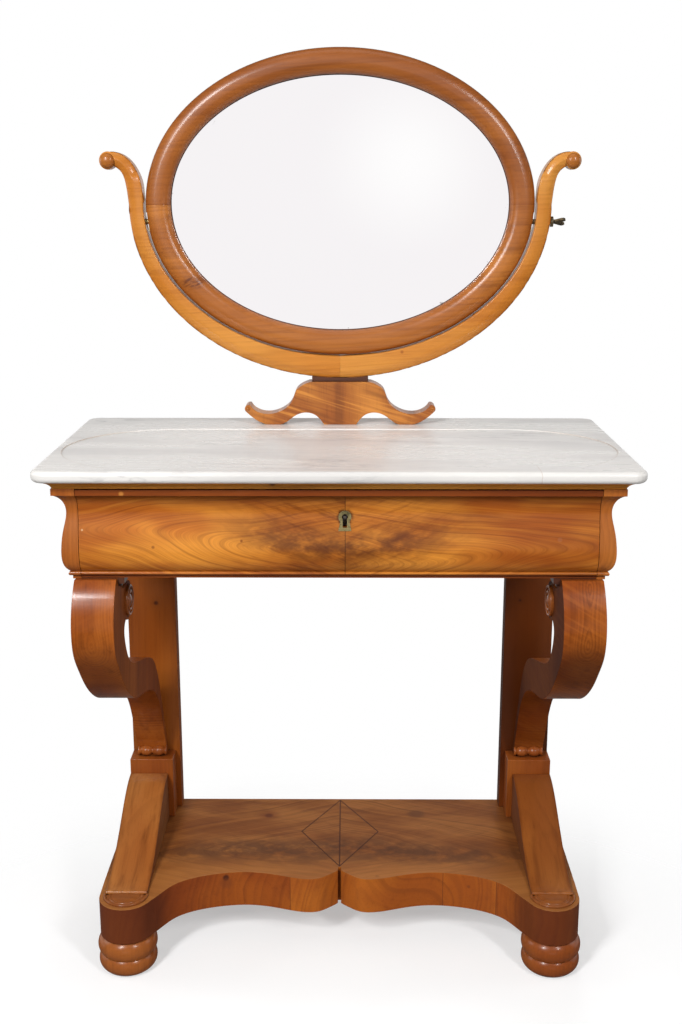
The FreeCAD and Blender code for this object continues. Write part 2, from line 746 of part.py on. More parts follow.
# Marble slab with rounded corners and arrises, and a shallow oval field
def marble():
    body = doc.addObject("PartDesign::Body", "marble_body")
    r = s.marble_corner
    bow = r * (1 - math.sqrt(0.5))
    w = marble_half
    slab = profile(
        body, "XY_Plane", "marble_outline", (-w + r, front),
        (w - r, front), ((w - bow, front + bow), (w, front + r)),
        (w, back - r), ((w - bow, back - bow), (w - r, back)),
        (-w + r, back), ((-w + bow, back - bow), (-w, back - r)),
        (-w, front + r), ((-w + bow, front + bow), (-w + r, front)))
    block = pad(body, slab, s.marble_thick, name="marble_slab")
    doc.recompute()
    flat_edges = [f"Edge{n}" for n, edge in enumerate(block.Shape.Edges, start=1)
                  if edge.BoundBox.ZLength < tiny]
    rim = body.newObject("PartDesign::Fillet", "marble_arris")
    rim.Base = (block, flat_edges)
    bind(rim, "Radius", s.marble_round)
    doc.recompute()
    end_radius = (s.marble_depth - s.field_front_margin - s.field_back_margin) / 2
    middle = front + s.field_front_margin + end_radius
    reach = marble_half - s.field_end_margin - end_radius
    field = profile(
        body, "XY_Plane", "field_outline", (-reach, middle - end_radius),
        (reach, middle - end_radius), ((reach + end_radius, middle), (reach, middle + end_radius)),
        (-reach, middle + end_radius), ((-reach - end_radius, middle), (-reach, middle - end_radius)))
    bind(field, "AttachmentOffset.Base.z", s.marble_thick)
    pocket(body, field, s.field_sink, name="marble_field")
    place(body, zero, zero, marble_low)
    return body


mirror_y = back - s.mirror_back_gap
top_slab = marble()
bolt_places = [(-s.bolt_spacing / 2, mirror_y), (s.bolt_spacing / 2, mirror_y)]
bolt_holes = [rod(f"marble_bolt_hole_{n}", s.bolt_radius + s.fit, s.marble_thick + s.overrun * 2,
                  (x, y, marble_low - s.overrun)) for n, (x, y) in enumerate(bolt_places)]
keep(cut(top_slab, *bolt_holes), "marble_top")

# Drawer front, cut from the same ogee as the stiles
drawer_half = bay_half - s.drawer_gap
drawer_back_plane = stile_rear - s.drawer_gap
drawer_top = case_top - s.drawer_gap_high
drawer_low = case_low + s.drawer_gap_high
box_half = bay_half - s.guide_width - s.air
side_low = rail_top + s.air
side_top = side_low + s.drawer_side_height
floor_low = side_low + s.bottom_rise
floor_top = floor_low + s.bottom_thick
drawer_rear = board_front - s.drawer_rear_gap
lock_front = drawer_back_plane - s.lock_thick
lock_low = drawer_top - s.lock_height
keyhole_z = case_top - s.keyhole_below_top
lock_x = s.lock_offset


def keyhole_face():
    """A round hole for the key's pipe, with a slot below it for the bit."""
    slot = s.keyhole_slot / 2
    ring = s.keyhole_radius
    meet = keyhole_z - math.sqrt(float(ring) ** 2 - float(slot) ** 2)
    low = keyhole_z - s.keyhole_drop
    hole = Outline(xz, (lock_x - slot, low))
    hole.line((lock_x + slot, low), (lock_x + slot, meet))
    hole.arc((lock_x, keyhole_z + ring), (lock_x - slot, meet))
    return hole.face()


def plate_face():
    """Outline of the escutcheon: a disc that flares out into a foot."""
    neck = s.plate_neck / 2
    ring = s.plate_radius
    meet = keyhole_z - math.sqrt(float(ring) ** 2 - float(neck) ** 2)
    low = keyhole_z - s.plate_drop
    plate = Outline(xz, (lock_x - s.plate_foot / 2, low))
    plate.line((lock_x + s.plate_foot / 2, low), (lock_x + neck, meet))
    plate.arc((lock_x, keyhole_z + ring), (lock_x - neck, meet))
    return plate.face()


drawer_ogee_face = ogee_face(front_plane, s.stile_depth - s.drawer_gap)
ogee_block = extruded(drawer_ogee_face, -drawer_half, drawer_half, X_AXIS)
drawer_slice = plain_box((-drawer_half, drawer_half), (front, drawer_back_plane),
                         (drawer_low, drawer_top))
plate_prism = extruded(plate_face(), front, drawer_back_plane, Y_AXIS)
keyhole_prism = extruded(keyhole_face(), front, drawer_back_plane, Y_AXIS)
plate_layer = plate_prism.common(ogee_block.translated(vec(0, -s.plate_proud, 0)))
plate_layer = plate_layer.cut(ogee_block.translated(vec(0, s.plate_sunk, 0)))
keep(shaped("escutcheon", plate_layer.cut(keyhole_prism)), "escutcheon")

lock_sides = (lock_x - s.lock_width / 2, lock_x + s.lock_width / 2)
lock_recess = plain_box(lock_sides, (lock_front, drawer_back_plane),
                        (lock_low, drawer_top + s.overrun))
box_inside = box_half - s.drawer_wall
floor_half = box_inside + s.groove_depth
floor_groove = plain_box((-floor_half, floor_half),
                         (drawer_back_plane - s.groove_depth, drawer_back_plane + s.overrun),
                         (floor_low, floor_top))
front_shape = ogee_block.common(drawer_slice).cut(plate_layer)
front_shape = front_shape.cut(keyhole_prism).cut(lock_recess).cut(floor_groove)
keep(shaped("drawer_front", front_shape), "drawer_front")

# Drawer sides, back and the bottom that slides in under the back
groove = box("drawer_groove", (box_inside - s.overrun, floor_half),
             (drawer_back_plane - s.overrun, drawer_rear + s.overrun), (floor_low, floor_top))
side = box("drawer_side_board", (box_inside, box_half), (drawer_back_plane, drawer_rear),
           (side_low, side_top))
both_sides(cut(side, groove), "drawer_side")
keep(box("drawer_back", (-box_inside, box_inside), (drawer_rear - s.drawer_wall, drawer_rear),
         (floor_top, side_top)), "drawer_back")
keep(box("drawer_bottom", (-floor_half, floor_half),
         (drawer_back_plane - s.groove_depth, drawer_rear), (floor_low, floor_top)), "drawer_bottom")

# Lock let into the drawer front: case with its pin, sliding bolt and four screws
lock_middle_y = lock_front + s.lock_thick / 2
bolt_low = drawer_top - s.bolt_length
channel_low = bolt_low - s.overrun
lock_body = box("lock_body", lock_sides, (lock_front, drawer_back_plane),
                (lock_low, drawer_top))
bolt_side = (lock_x - s.bolt_width / 2, lock_x + s.bolt_width / 2)
channel = box("lock_channel", (bolt_side[0] - s.air, bolt_side[1] + s.air),
              (lock_middle_y - s.bolt_thick / 2 - s.air, lock_middle_y + s.bolt_thick / 2 + s.air),
              (channel_low, drawer_top + s.overrun))
key_pin = rod("lock_pin", s.pin_radius, s.pin_length + s.lock_thick / 2,
              (lock_x, lock_front - s.pin_length, keyhole_z), "y")
screw_x = s.lock_width / 2 - s.screw_inset
screw_places = [(lock_x + side * screw_x, height) for side in (-1, 1)
                for height in (drawer_top - s.screw_inset, lock_low + s.screw_inset)]
screw_holes = [rod(f"lock_screw_hole_{n}", s.screw_radius, s.lock_thick + s.overrun,
                   (x, lock_front - s.overrun, z), "y") for n, (x, z) in enumerate(screw_places)]
keep(cut(fuse("lock_with_pin", cut(lock_body, channel), key_pin), *screw_holes), "lock_case")
bolt_face = (lock_middle_y - s.bolt_thick / 2, lock_middle_y + s.bolt_thick / 2)
keep(box("lock_bolt", bolt_side, bolt_face, (bolt_low, drawer_top)), "lock_bolt")


head_round_share = 0.6


def screw_set(places, radius, head_radius, head, length, seat_y):
    """Round-headed screws driven towards -Y, their heads on a plane."""
    screws = []
    for x, z in places:
        shank = Part.makeCylinder(float(radius), float(length), vec(x, seat_y - length, z), Y_AXIS)
        dome = Part.makeCylinder(float(head_radius), float(head), vec(x, seat_y, z), Y_AXIS)
        rim = [edge for edge in dome.Edges if edge.Curve.TypeId == "Part::GeomCircle"
               and abs(edge.CenterOfMass.y - float(seat_y + head)) < tiny]
        rounded = dome.makeFillet(float(head * head_round_share), rim)
        screws.append(shank.fuse(rounded).removeSplitter())
    return Part.makeCompound(screws)


# The screws bite past the lock into the drawer front, so that gets their holes
lock_screws = screw_set(screw_places, s.screw_radius, s.screw_head_radius, s.screw_head,
                        s.screw_length, drawer_back_plane)
keep(shaped("lock_screws", lock_screws), "lock_screws")
drawer_front = [part for part in parts if part.Label == "drawer_front"][0]
drawer_front.Shape = drawer_front.Shape.cut(lock_screws)

# The bolt rises into a mortise under the front cornice
mortise = plain_box((bolt_side[0] - s.drawer_gap, bolt_side[1] + s.drawer_gap),
                    (bolt_face[0] - s.drawer_gap, bolt_face[1] + s.drawer_gap),
                    (case_top - s.overrun, case_top + s.bolt_travel))
keep(shaped("cornice_front", cornice_front_shape.cut(mortise)), "cornice_front")

# Mirror stand: a bracket with upturned scroll ends on a flat middle foot, as shares of half its
# width and of its height
stand_arch_shares = [(0.210, 0.122), (0.263, 0.228), (0.345, 0.284), (0.468, 0.217), (0.560, 0.070)]
stand_end_shares = [(0.885, 0.111), (0.965, 0.249), (1, 0.324)]
stand_curl_shares = [(0.99, 0.441), (0.945, 0.462)]
stand_top_shares = [
    (0.920, 0.383), (0.840, 0.277), (0.720, 0.258), (0.615, 0.335), (0.530, 0.478), (0.490, 0.635),
    (0.460, 0.806), (0.395, 0.929), (0.315, 1)]
stand_rest_shares = [0.168, 0.628, 0.765]


def stand_shape():
    half = s.stand_half
    tall = s.stand_height

    def at(pair):
        return (half * pair[0], table_top + tall * pair[1])

    rests = [at((share, 0)) for share in stand_rest_shares]
    right = Outline(xz, (zero, table_top))
    right.line(rests[0])
    right.curve(*[at(pair) for pair in stand_arch_shares], rests[1])
    right.line(rests[2])
    right.curve(*[at(pair) for pair in stand_end_shares])
    right.arc(*[at(pair) for pair in stand_curl_shares])
    right.curve(*[at(pair) for pair in stand_top_shares])
    right.line((zero, table_top + tall))
    planes = (mirror_y - s.stand_thick / 2, mirror_y + s.stand_thick / 2)
    half_block = extruded(right.face(), *planes, Y_AXIS)
    return half_block.fuse(mirror_shape(half_block)).removeSplitter()


bolt_foot = marble_low - s.bolt_head


def bolt_set():
    """Two bolts up through the marble into the stand's middle foot."""
    bolts = []
    for x, y in bolt_places:
        reach = s.marble_thick + s.bolt_bite
        shank = Part.makeCylinder(float(s.bolt_radius), float(reach), vec(x, y, marble_low))
        head = Part.makeCylinder(float(s.bolt_head_radius), float(s.bolt_head), vec(x, y, bolt_foot))
        bolts.append(shank.fuse(head).removeSplitter())
    return Part.makeCompound(bolts)


stand_bolts = bolt_set()
keep(shaped("stand_bolts", stand_bolts), "stand_bolts")
keep(shaped("mirror_stand", stand_shape().cut(stand_bolts)), "mirror_stand")

# Yoke: a crescent round the mirror, in two halves, with arms that curl outwards into a round eye
yoke_low = table_top + s.stand_height + s.neck_height
mirror_z = yoke_low + s.yoke_belly + s.yoke_gap + s.mirror_half_height
pivot_z = mirror_z - s.pivot_drop
inner_a = s.mirror_half_width + s.yoke_side_gap
inner_b = s.mirror_half_height + s.yoke_gap
outer_a = inner_a + s.yoke_side
outer_b = inner_b + s.yoke_belly
arm_inner_shares = [
    (0.010, 0.260), (0.045, 0.470), (0.125, 0.640), (0.245, 0.800), (0.400, 0.920), (0.580, 0.990),
    (0.740, 1)]
arm_ball_shares = [(1, 0.815), (0.82, 0.665), (0.73, 0.685), (0.665, 0.735)]
arm_leave_angle = 2
arm_outer_shares = [(0.530, 0.660), (0.448, 0.555), (0.405, 0.430), (0.368, 0.230)]


def ellipse_point(a, b, angle):
    return (a * math.cos(math.radians(angle)), mirror_z + b * math.sin(math.radians(angle)))


def arm_point(out, up):
    return (inner_a + s.arm_reach * out, mirror_z + s.arm_rise * up)


def quarter(outline, a, b, start, end):
    """A stretch of ellipse round the mirror's centre, as a curve through even steps."""
    steps = 8
    angles = [start + (end - start) * n / steps for n in range(1, steps + 1)]
    return outline.curve(*[ellipse_point(a, b, angle) for angle in angles])


def yoke_shape():
    half = Outline(xz, ellipse_point(inner_a, inner_b, -90))
    quarter(half, inner_a, inner_b, -90, arm_leave_angle)
    half.curve(*[arm_point(*pair) for pair in arm_inner_shares])
    ball = [arm_point(*pair) for pair in arm_ball_shares]
    half.arc(*ball[:2])
    half.arc(*ball[2:])
    half.curve(*[arm_point(*pair) for pair in arm_outer_shares], ellipse_point(outer_a, outer_b, 0))
    quarter(half, outer_a, outer_b, 0, -90)
    planes = (mirror_y - s.yoke_thick / 2, mirror_y + s.yoke_thick / 2)
    return extruded(half.face(), *planes, Y_AXIS)


# Pivot line, and where the arms and the frame's edge cross it
level = math.sqrt(1 - (float(s.pivot_drop) / float(outer_b)) ** 2)
arm_outside = outer_a * level
edge_drop = float(s.pivot_drop + s.plate_tall / 2)
frame_edge_x = s.mirror_half_width * math.sqrt(1 - (edge_drop / float(s.mirror_half_height)) ** 2)
plate_out = frame_edge_x
plate_in = plate_out - s.plate_thick
pin_start = plate_in - s.pin_inner
arm_inside = inner_a * level


def bore(radius, start, end):
    return Part.makeCylinder(float(radius), float(end - start), vec(start, mirror_y, pivot_z), X_AXIS)


yoke_raw = yoke_shape()
screw_bore = bore(s.pin_radius_pivot + s.fit, arm_inside - s.overrun, arm_outside + s.overrun)
pin_bore = bore(s.pin_radius_pivot, arm_inside - s.overrun, arm_inside + s.pin_bite)
keep(shaped("yoke_right", yoke_raw.cut(screw_bore)), "yoke_right")
keep(shaped("yoke_left", mirror_shape(yoke_raw.cut(pin_bore))), "yoke_left")

# Dark fillet between the stand and the yoke, hollowed to the yoke's belly
neck = plain_box((-s.neck_half, s.neck_half),
                 (mirror_y - s.neck_depth / 2, mirror_y + s.neck_depth / 2),
                 (table_top + s.stand_height, yoke_low + s.neck_height * 2))
neck = neck.cut(yoke_raw).cut(mirror_shape(yoke_raw))
neck = sorted(neck.Solids, key=lambda solid: solid.CenterOfMass.z)[0]
keep(shaped("stand_neck", neck), "stand_neck")

# Mirror frame: a half-round moulding swept along the oval, rebated behind for the glass
middle_a = s.mirror_half_width - s.frame_width / 2
middle_b = s.mirror_half_height - s.frame_width / 2
rebate_front = s.frame_back - s.glass_thick


frame_shoulder_shares = (0.8, 0.66)


def frame_section():
    """Section at the right-hand end of the oval: X outwards, Y backwards."""
    half = s.frame_width / 2
    rebate = -half + s.rebate_width

    def at(r, y):
        return (middle_a + r, mirror_y + y)

    section = Outline(lambda a, b: FreeCAD.Vector(a, b, float(mirror_z)), at(-half, rebate_front))
    section.line(at(-half, -s.frame_edge))
    shoulder = half * frame_shoulder_shares[0]
    rise = s.frame_front * frame_shoulder_shares[1]
    section.curve(at(-shoulder, -rise), at(zero, -s.frame_front), at(shoulder, -rise),
                  at(half, -s.frame_edge))
    section.line(at(half, s.frame_back), at(rebate, s.frame_back), at(rebate, rebate_front))
    return section.face().OuterWire


def frame_half(start, end):
    oval = Part.Ellipse(ORIGIN, float(middle_a), float(middle_b))
    path = Part.Wire([oval.toShape(start, end)])
    lay = FreeCAD.Placement(vec(0, mirror_y, mirror_z), FreeCAD.Rotation(X_AXIS, 90))
    path.Placement = lay
    section = frame_section()
    if start:
        section = section.mirror(ORIGIN, X_AXIS)
    shell = Part.BRepOffsetAPI.MakePipeShell(path)
    shell.setBiNormalMode(Y_AXIS)
    shell.add(section)
    shell.build()
    shell.makeSolid()
    return shell.shape()


def plate_pocket(side):
    """Room for a pivot plate in the frame's edge, and the pin's bore behind it."""
    room = plain_box((plate_in, plate_out + s.overrun * 2),
                     (mirror_y - s.plate_deep / 2, mirror_y + s.plate_deep / 2),
                     (pivot_z - s.plate_tall / 2, pivot_z + s.plate_tall / 2))
    room = room.fuse(bore(s.pin_radius_pivot + s.air, pin_start - s.air, plate_out))
    return room if side > 0 else mirror_shape(room)


upper = frame_half(0, math.pi)
lower = frame_half(math.pi, math.pi * 2)
keep(shaped("mirror_frame_upper", upper), "mirror_frame_upper")

glass_a = middle_a - s.frame_width / 2 + s.rebate_width - s.glass_gap
glass_b = middle_b - s.frame_width / 2 + s.rebate_width - s.glass_gap


def oval_plate(a, b, start, end):
    oval = Part.Ellipse(ORIGIN, float(a), float(b))
    face = Part.Face(Part.Wire([oval.toShape()]))
    face.Placement = FreeCAD.Placement(vec(0, end, mirror_z), FreeCAD.Rotation(X_AXIS, 90))
    return face.extrude(vec(0, start - end, 0))


board_front_y = mirror_y + s.frame_back
board_rear_y = board_front_y + s.board_thick
glass = oval_plate(glass_a, glass_b, mirror_y + rebate_front, board_front_y)
keep(shaped("mirror_glass", glass), "mirror_glass")
board = oval_plate(middle_a + s.board_lap, middle_b + s.board_lap, board_front_y, board_rear_y)
back_screw_angles = [15, 60, 120, 165, 195, 240, 300, 345]
back_screw_places = [ellipse_point(middle_a, middle_b, angle) for angle in back_screw_angles]
back_screws = screw_set(back_screw_places, s.back_screw_radius, s.back_screw_head, s.screw_head,
                        s.board_thick + s.back_screw_length, board_rear_y)
keep(shaped("backboard_screws", back_screws), "backboard_screws")
keep(shaped("mirror_backboard", board.cut(back_screws)), "mirror_backboard")
frame_upper = [part for part in parts if part.Label == "mirror_frame_upper"][0]
frame_upper.Shape = upper.cut(back_screws)
lower = lower.cut(back_screws).cut(plate_pocket(1)).cut(plate_pocket(-1))
keep(shaped("mirror_frame_lower", lower), "mirror_frame_lower")

# Brass plates for the pivots in the frame's edge
plate = cut(
    box("pivot_plate_blank", (plate_in, plate_out),
        (mirror_y - s.plate_deep / 2, mirror_y + s.plate_deep / 2),
        (pivot_z - s.plate_tall / 2, pivot_z + s.plate_tall / 2)),
    rod("pivot_plate_hole", s.pin_radius_pivot + s.fit, s.plate_thick + s.overrun * 2,
        (plate_in - s.overrun, mirror_y, pivot_z), "x"))
both_sides(plate, "pivot_plate")

# Left pivot pin, driven into the yoke; the right one is the clamping thumbscrew
keep(rod("pivot_pin_left", s.pin_radius_pivot, arm_inside + s.pin_bite - pin_start,
         (-arm_inside - s.pin_bite, mirror_y, pivot_z), "x"), "pivot_pin_left")


# Outline of the two wings, as shares of their reach and half width
wing_low_shares = [(0.45, -0.75), (0.8, -1), (1, -0.6)]
wing_notch_shares = [(0.75, -0.25), (0.64, 0), (0.75, 0.25), (1, 0.6)]
wing_high_shares = [(0.8, 1), (0.45, 0.75)]
wing_rest_angle = 62


def thumbscrew_shape():
    """Shank, collar against the arm, and two rounded wings; the axis along X from the origin."""
    collar_start = outer_a + s.air - pin_start
    hub = collar_start + s.collar_length
    shank = Part.makeCylinder(float(s.pin_radius_pivot), float(hub), ORIGIN, X_AXIS)
    collar_at = vec(collar_start, 0, 0)
    collar = Part.makeCylinder(float(s.collar_radius), float(s.collar_length), collar_at, X_AXIS)

    def at(pair):
        return (hub + s.wing_reach * pair[0], s.wing_half * pair[1])

    wings = Outline(xz, (hub, -s.pin_radius_pivot))
    wings.curve(*[at(pair) for pair in wing_low_shares])
    wings.curve(*[at(pair) for pair in wing_notch_shares])
    wings.curve(*[at(pair) for pair in wing_high_shares], (hub, s.pin_radius_pivot))
    blade = extruded(wings.face(), -s.wing_thick / 2, s.wing_thick / 2, Y_AXIS)
    blade.rotate(ORIGIN, X_AXIS, wing_rest_angle)
    return shank.fuse(collar).fuse(blade).removeSplitter()


keep(shaped("thumbscrew", thumbscrew_shape(), (pin_start, mirror_y, pivot_z)), "thumbscrew")

# Everything is checked before anything is written
doc.recompute()
faults = [f"{thing.Label}: {thing.State}" for thing in doc.Objects
          if "Invalid" in thing.State or "Error" in thing.State]
for part in parts:
    if part.Shape.isNull() or not part.Shape.isValid() or not part.Shape.Solids:
        faults.append(f"{part.Label}: bad shape")
if faults:
    raise RuntimeError("; ".join(faults))

os.makedirs("parts", exist_ok=True)
for part in parts:
    part.Shape.exportStep(f"parts/{part.Label}.step")
    print(f"{part.Label}: {len(part.Shape.Solids)} solid, {part.Shape.Volume / 1000:.2f} cm3")
print(len(parts), "sub-parts")
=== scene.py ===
import math
import bmesh
import bpy
import numpy as np
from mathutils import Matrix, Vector


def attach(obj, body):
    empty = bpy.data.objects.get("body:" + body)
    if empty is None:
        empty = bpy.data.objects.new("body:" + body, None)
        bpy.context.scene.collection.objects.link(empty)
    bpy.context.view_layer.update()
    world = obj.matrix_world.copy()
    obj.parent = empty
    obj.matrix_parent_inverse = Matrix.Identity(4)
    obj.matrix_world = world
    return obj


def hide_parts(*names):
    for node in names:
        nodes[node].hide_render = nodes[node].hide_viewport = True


# A dressing table of polished cherry: marble top, ogee drawer, scroll legs and a swinging oval mirror
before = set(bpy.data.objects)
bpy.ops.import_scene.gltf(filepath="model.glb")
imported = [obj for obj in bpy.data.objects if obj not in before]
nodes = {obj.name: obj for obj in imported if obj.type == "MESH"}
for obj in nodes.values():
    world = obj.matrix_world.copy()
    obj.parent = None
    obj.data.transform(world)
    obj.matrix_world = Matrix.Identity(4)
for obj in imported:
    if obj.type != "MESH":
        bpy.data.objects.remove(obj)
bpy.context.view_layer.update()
mirrorZ = 1.1488          # height of the mirror's middle, used by the glass, the yoke and the sight line


def toLinear(red, green, blue):
    # a colour as seen on screen, 0 to 255, turned into the values that the shaders use
    return tuple(((c / 255 + 0.055) / 1.055) ** 2.4 if c > 10 else c / 255 / 12.92
                 for c in (red, green, blue))


class Wire:
    # one value in a node tree, so that shader maths reads as plain expressions

    def __init__(self, finish, socket):
        self.finish = finish
        self.socket = socket

    def maths(self, operation, first, second=0.0):
        return self.finish.node("ShaderNodeMath", {"operation": operation}, {0: first, 1: second})

    def __add__(self, other):
        return self.maths("ADD", self, other)

    def __radd__(self, other):
        return self.maths("ADD", other, self)

    def __sub__(self, other):
        return self.maths("SUBTRACT", self, other)

    def __rsub__(self, other):
        return self.maths("SUBTRACT", other, self)

    def __mul__(self, other):
        return self.maths("MULTIPLY", self, other)

    def __rmul__(self, other):
        return self.maths("MULTIPLY", other, self)

    def __truediv__(self, other):
        return self.maths("DIVIDE", self, other)

    def __rtruediv__(self, other):
        return self.maths("DIVIDE", other, self)

    def __pow__(self, other):
        return self.maths("POWER", self, other)

    def __rpow__(self, other):
        return self.maths("POWER", other, self)

    def __abs__(self):
        return self.maths("ABSOLUTE", self)

    def __lt__(self, other):
        return self.maths("LESS_THAN", self, other)

    def __gt__(self, other):
        return self.maths("GREATER_THAN", self, other)

    def part(self):
        return self.maths("FRACT", self)

    def clamp(self):
        return self.maths("MINIMUM", self.maths("MAXIMUM", self, 0.0), 1.0)


class Finish:
    # one material: nodes come from node(), and the shader's inputs from surface()

    def __init__(self, name):
        self.material = bpy.data.materials.new(name)
        self.material.use_nodes = True
        self.tree = self.material.node_tree
        self.tree.nodes.clear()

    def node(self, kind, settings=None, inputs=None, output=0):
        made = self.tree.nodes.new(kind)
        for key, value in (settings or {}).items():
            setattr(made, key, value)
        for key, value in (inputs or {}).items():
            socket = made.inputs[key]
            if isinstance(value, Wire):
                self.tree.links.new(value.socket, socket)
            elif socket.type == "RGBA" and len(value) == 3:
                socket.default_value = (*value, 1)
            else:
                socket.default_value = value
        return Wire(self, made.outputs[output]) if len(made.outputs) else None

    def axes(self):
        # where a point lies on the piece, in metres: the whole vector and its three numbers
        place = self.node("ShaderNodeTexCoord", output="Object")
        return place, *[self.node("ShaderNodeSeparateXYZ", inputs={0: place}, output=n) for n in range(3)]

    def point(self, x, y, z):
        return self.node("ShaderNodeCombineXYZ", inputs={0: x, 1: y, 2: z})

    def noise(self, at, scale=1.0, detail=2.0, rough=0.5, warp=0.0):
        return self.node("ShaderNodeTexNoise", inputs={
            "Vector": at, "Scale": scale, "Detail": detail, "Roughness": rough, "Distortion": warp})

    def rise(self, value, low, high):
        # 0 below low, 1 above high, smooth between
        return self.node("ShaderNodeMapRange", {"interpolation_type": "SMOOTHSTEP"},
                         {0: value, 1: low, 2: high, 3: 0.0, 4: 1.0})

    def mix(self, amount, first, second, how="MIX"):
        return self.node("ShaderNodeMix", {"data_type": "RGBA", "blend_type": how},
                         {0: amount, 6: first, 7: second}, 2)

    def spot(self, place, centre, radius):
        # 1 at a point, falling to 0 at a radius from it
        gap = self.node("ShaderNodeVectorMath", {"operation": "DISTANCE"}, {0: place, 1: centre}, 1)
        return 1 - self.rise(gap, 0.0, radius)

    def marked(self, place, marks, colour):
        # small stains, holes and chips: (place, radius, strength, colour)
        for centre, radius, strength, shade in marks:
            cover = self.rise(self.spot(place, centre, radius), 0.1, 0.8)
            colour = self.mix(cover * strength, colour, shade)
        return colour

    def surface(self, bump=None, strength=0.3, depth=0.001, **inputs):
        # the shader's inputs are given by name, with _ for each space
        sockets = {key.replace("_", " "): value for key, value in inputs.items()}
        if bump is not None:
            sockets["Normal"] = self.node("ShaderNodeBump", inputs={
                "Strength": strength, "Distance": depth, "Height": bump})
        shader = self.node("ShaderNodeBsdfPrincipled", inputs=sockets)
        self.node("ShaderNodeOutputMaterial", inputs={0: shader})
        return self.material


woodLook = {
    "along": "x",            # the axis that the grain follows
    "pith": (0.02, -0.11),   # the tree's middle, across the grain
    "lean": (0.02, 0.05),    # how far the rings drift per metre of grain
    "ringWidth": 0.006, "ringDepth": 0.2, "wander": 0.05, "seed": 0.0,
    "light": toLinear(206, 134, 56), "body": toLinear(170, 96, 34), "deep": toLinear(96, 44, 12),
    "red": toLinear(134, 62, 18), "redness": 0.4, "cloud": 0.6, "streak": 0.4,
    "figure": 0.0, "figureSize": 60.0, "figureLean": 0.0, "knots": [], "marks": [],
    "dull": None,            # faces with less polish: an axis, how dull, how much painted shade darkens them (see polished)
    "haze": 9,               # how fine the uneven shine is
    "bare": (0.06, 0.52),    # full painted corner shade and grime where a corner is less open than this, none where it is more
    "grain": (0.07, 0.0006),   # strength and depth of the grain under the polish
    "rough": 0.3, "shine": 0.2, "coat": 0.3, "coatRough": 0.17,
    # painted shade: closed corners are darkened by this much, as shade and grime, with the reach and colour
    # of it
    "grime": 0.75, "grimeReach": 0.009, "grimeColour": toLinear(48, 20, 8),
}
wormColour = toLinear(46, 20, 10)


def woodColour(finish, look, place, along, across, depth):
    # growth rings round the pith, with streaks, fibres, clouds of colour, figure and knots
    seed = look["seed"]
    across = across - along * look["lean"][0]
    depth = depth - along * look["lean"][1]
    slowA = finish.noise(finish.point(along * 1.4 + seed, across * 5 + 3, depth * 5), detail=1.5)
    slowB = finish.noise(finish.point(along * 1.1 - seed, across * 6, depth * 6 + 7), detail=1.5)
    a = across - look["pith"][0] + (slowA - 0.5) * look["wander"]
    d = depth - look["pith"][1] + (slowB - 0.5) * look["wander"]
    radius = (a * a + d * d) ** 0.5
    knotShade = 0.0
    for knot in look["knots"]:
        near = finish.spot(place, knot[:3], knot[3] * 4)
        radius = radius + near * near * knot[3] * 2.2
        knotShade = knotShade + finish.spot(place, knot[:3], knot[3]) ** 0.7 + near * near * 0.25
    rings = radius / look["ringWidth"] + finish.noise(finish.point(radius * 70, seed, 0)) * 2.4
    phase = rings.part()
    fade = finish.rise(finish.noise(finish.point(along * 2, radius * 45, seed)), 0.35, 0.65)
    late = finish.rise(phase, 0.2, 0.85) * (1 - finish.rise(phase, 0.9, 1.0)) * (fade * 0.8 + 0.2)
    fibre = finish.noise(finish.point(along * 16, across * 420, depth * 420), detail=3, rough=0.6)
    pore = finish.rise(finish.noise(finish.point(along * 90, across * 1500, depth * 1500)), 0.63, 0.75)
    streak = finish.noise(finish.point(along * 3 + seed, a * 60, d * 60), detail=3, rough=0.6)
    cloud = finish.noise(finish.point(along * 4 + seed, across * 11, depth * 11), detail=2)
    blush = finish.noise(finish.point(along * 2.3, across * 7 + seed, depth * 7), detail=3, rough=0.6)
    colour = finish.mix(finish.rise(cloud, 0.36, 0.7) * look["cloud"], look["body"], look["light"])
    colour = finish.mix(finish.rise(blush, 0.42, 0.72) * look["redness"], colour, look["red"])
    colour = finish.mix(finish.rise(streak, 0.48, 0.75) * look["streak"], colour, look["deep"])
    colour = finish.mix(late * look["ringDepth"], colour, look["deep"])
    colour = finish.mix(finish.rise(fibre, 0.5, 0.8) * 0.3, colour, look["deep"])
    colour = finish.mix(pore * 0.25, colour, look["deep"])
    if look["figure"]:
        stripe = finish.noise(finish.point((along + across * look["figureLean"]) * look["figureSize"],
                                           across * 9, depth * 9), detail=1.5)
        colour = finish.mix(finish.rise(stripe, 0.5, 0.68) * look["figure"], colour, look["light"])
        colour = finish.mix((1 - finish.rise(stripe, 0.3, 0.48)) * look["figure"] * 0.6, colour, look["deep"])
    if look["knots"]:
        colour = finish.mix(knotShade.clamp() * 0.88, colour, toLinear(62, 26, 12))
    return finish.marked(place, look["marks"], colour), late, fibre


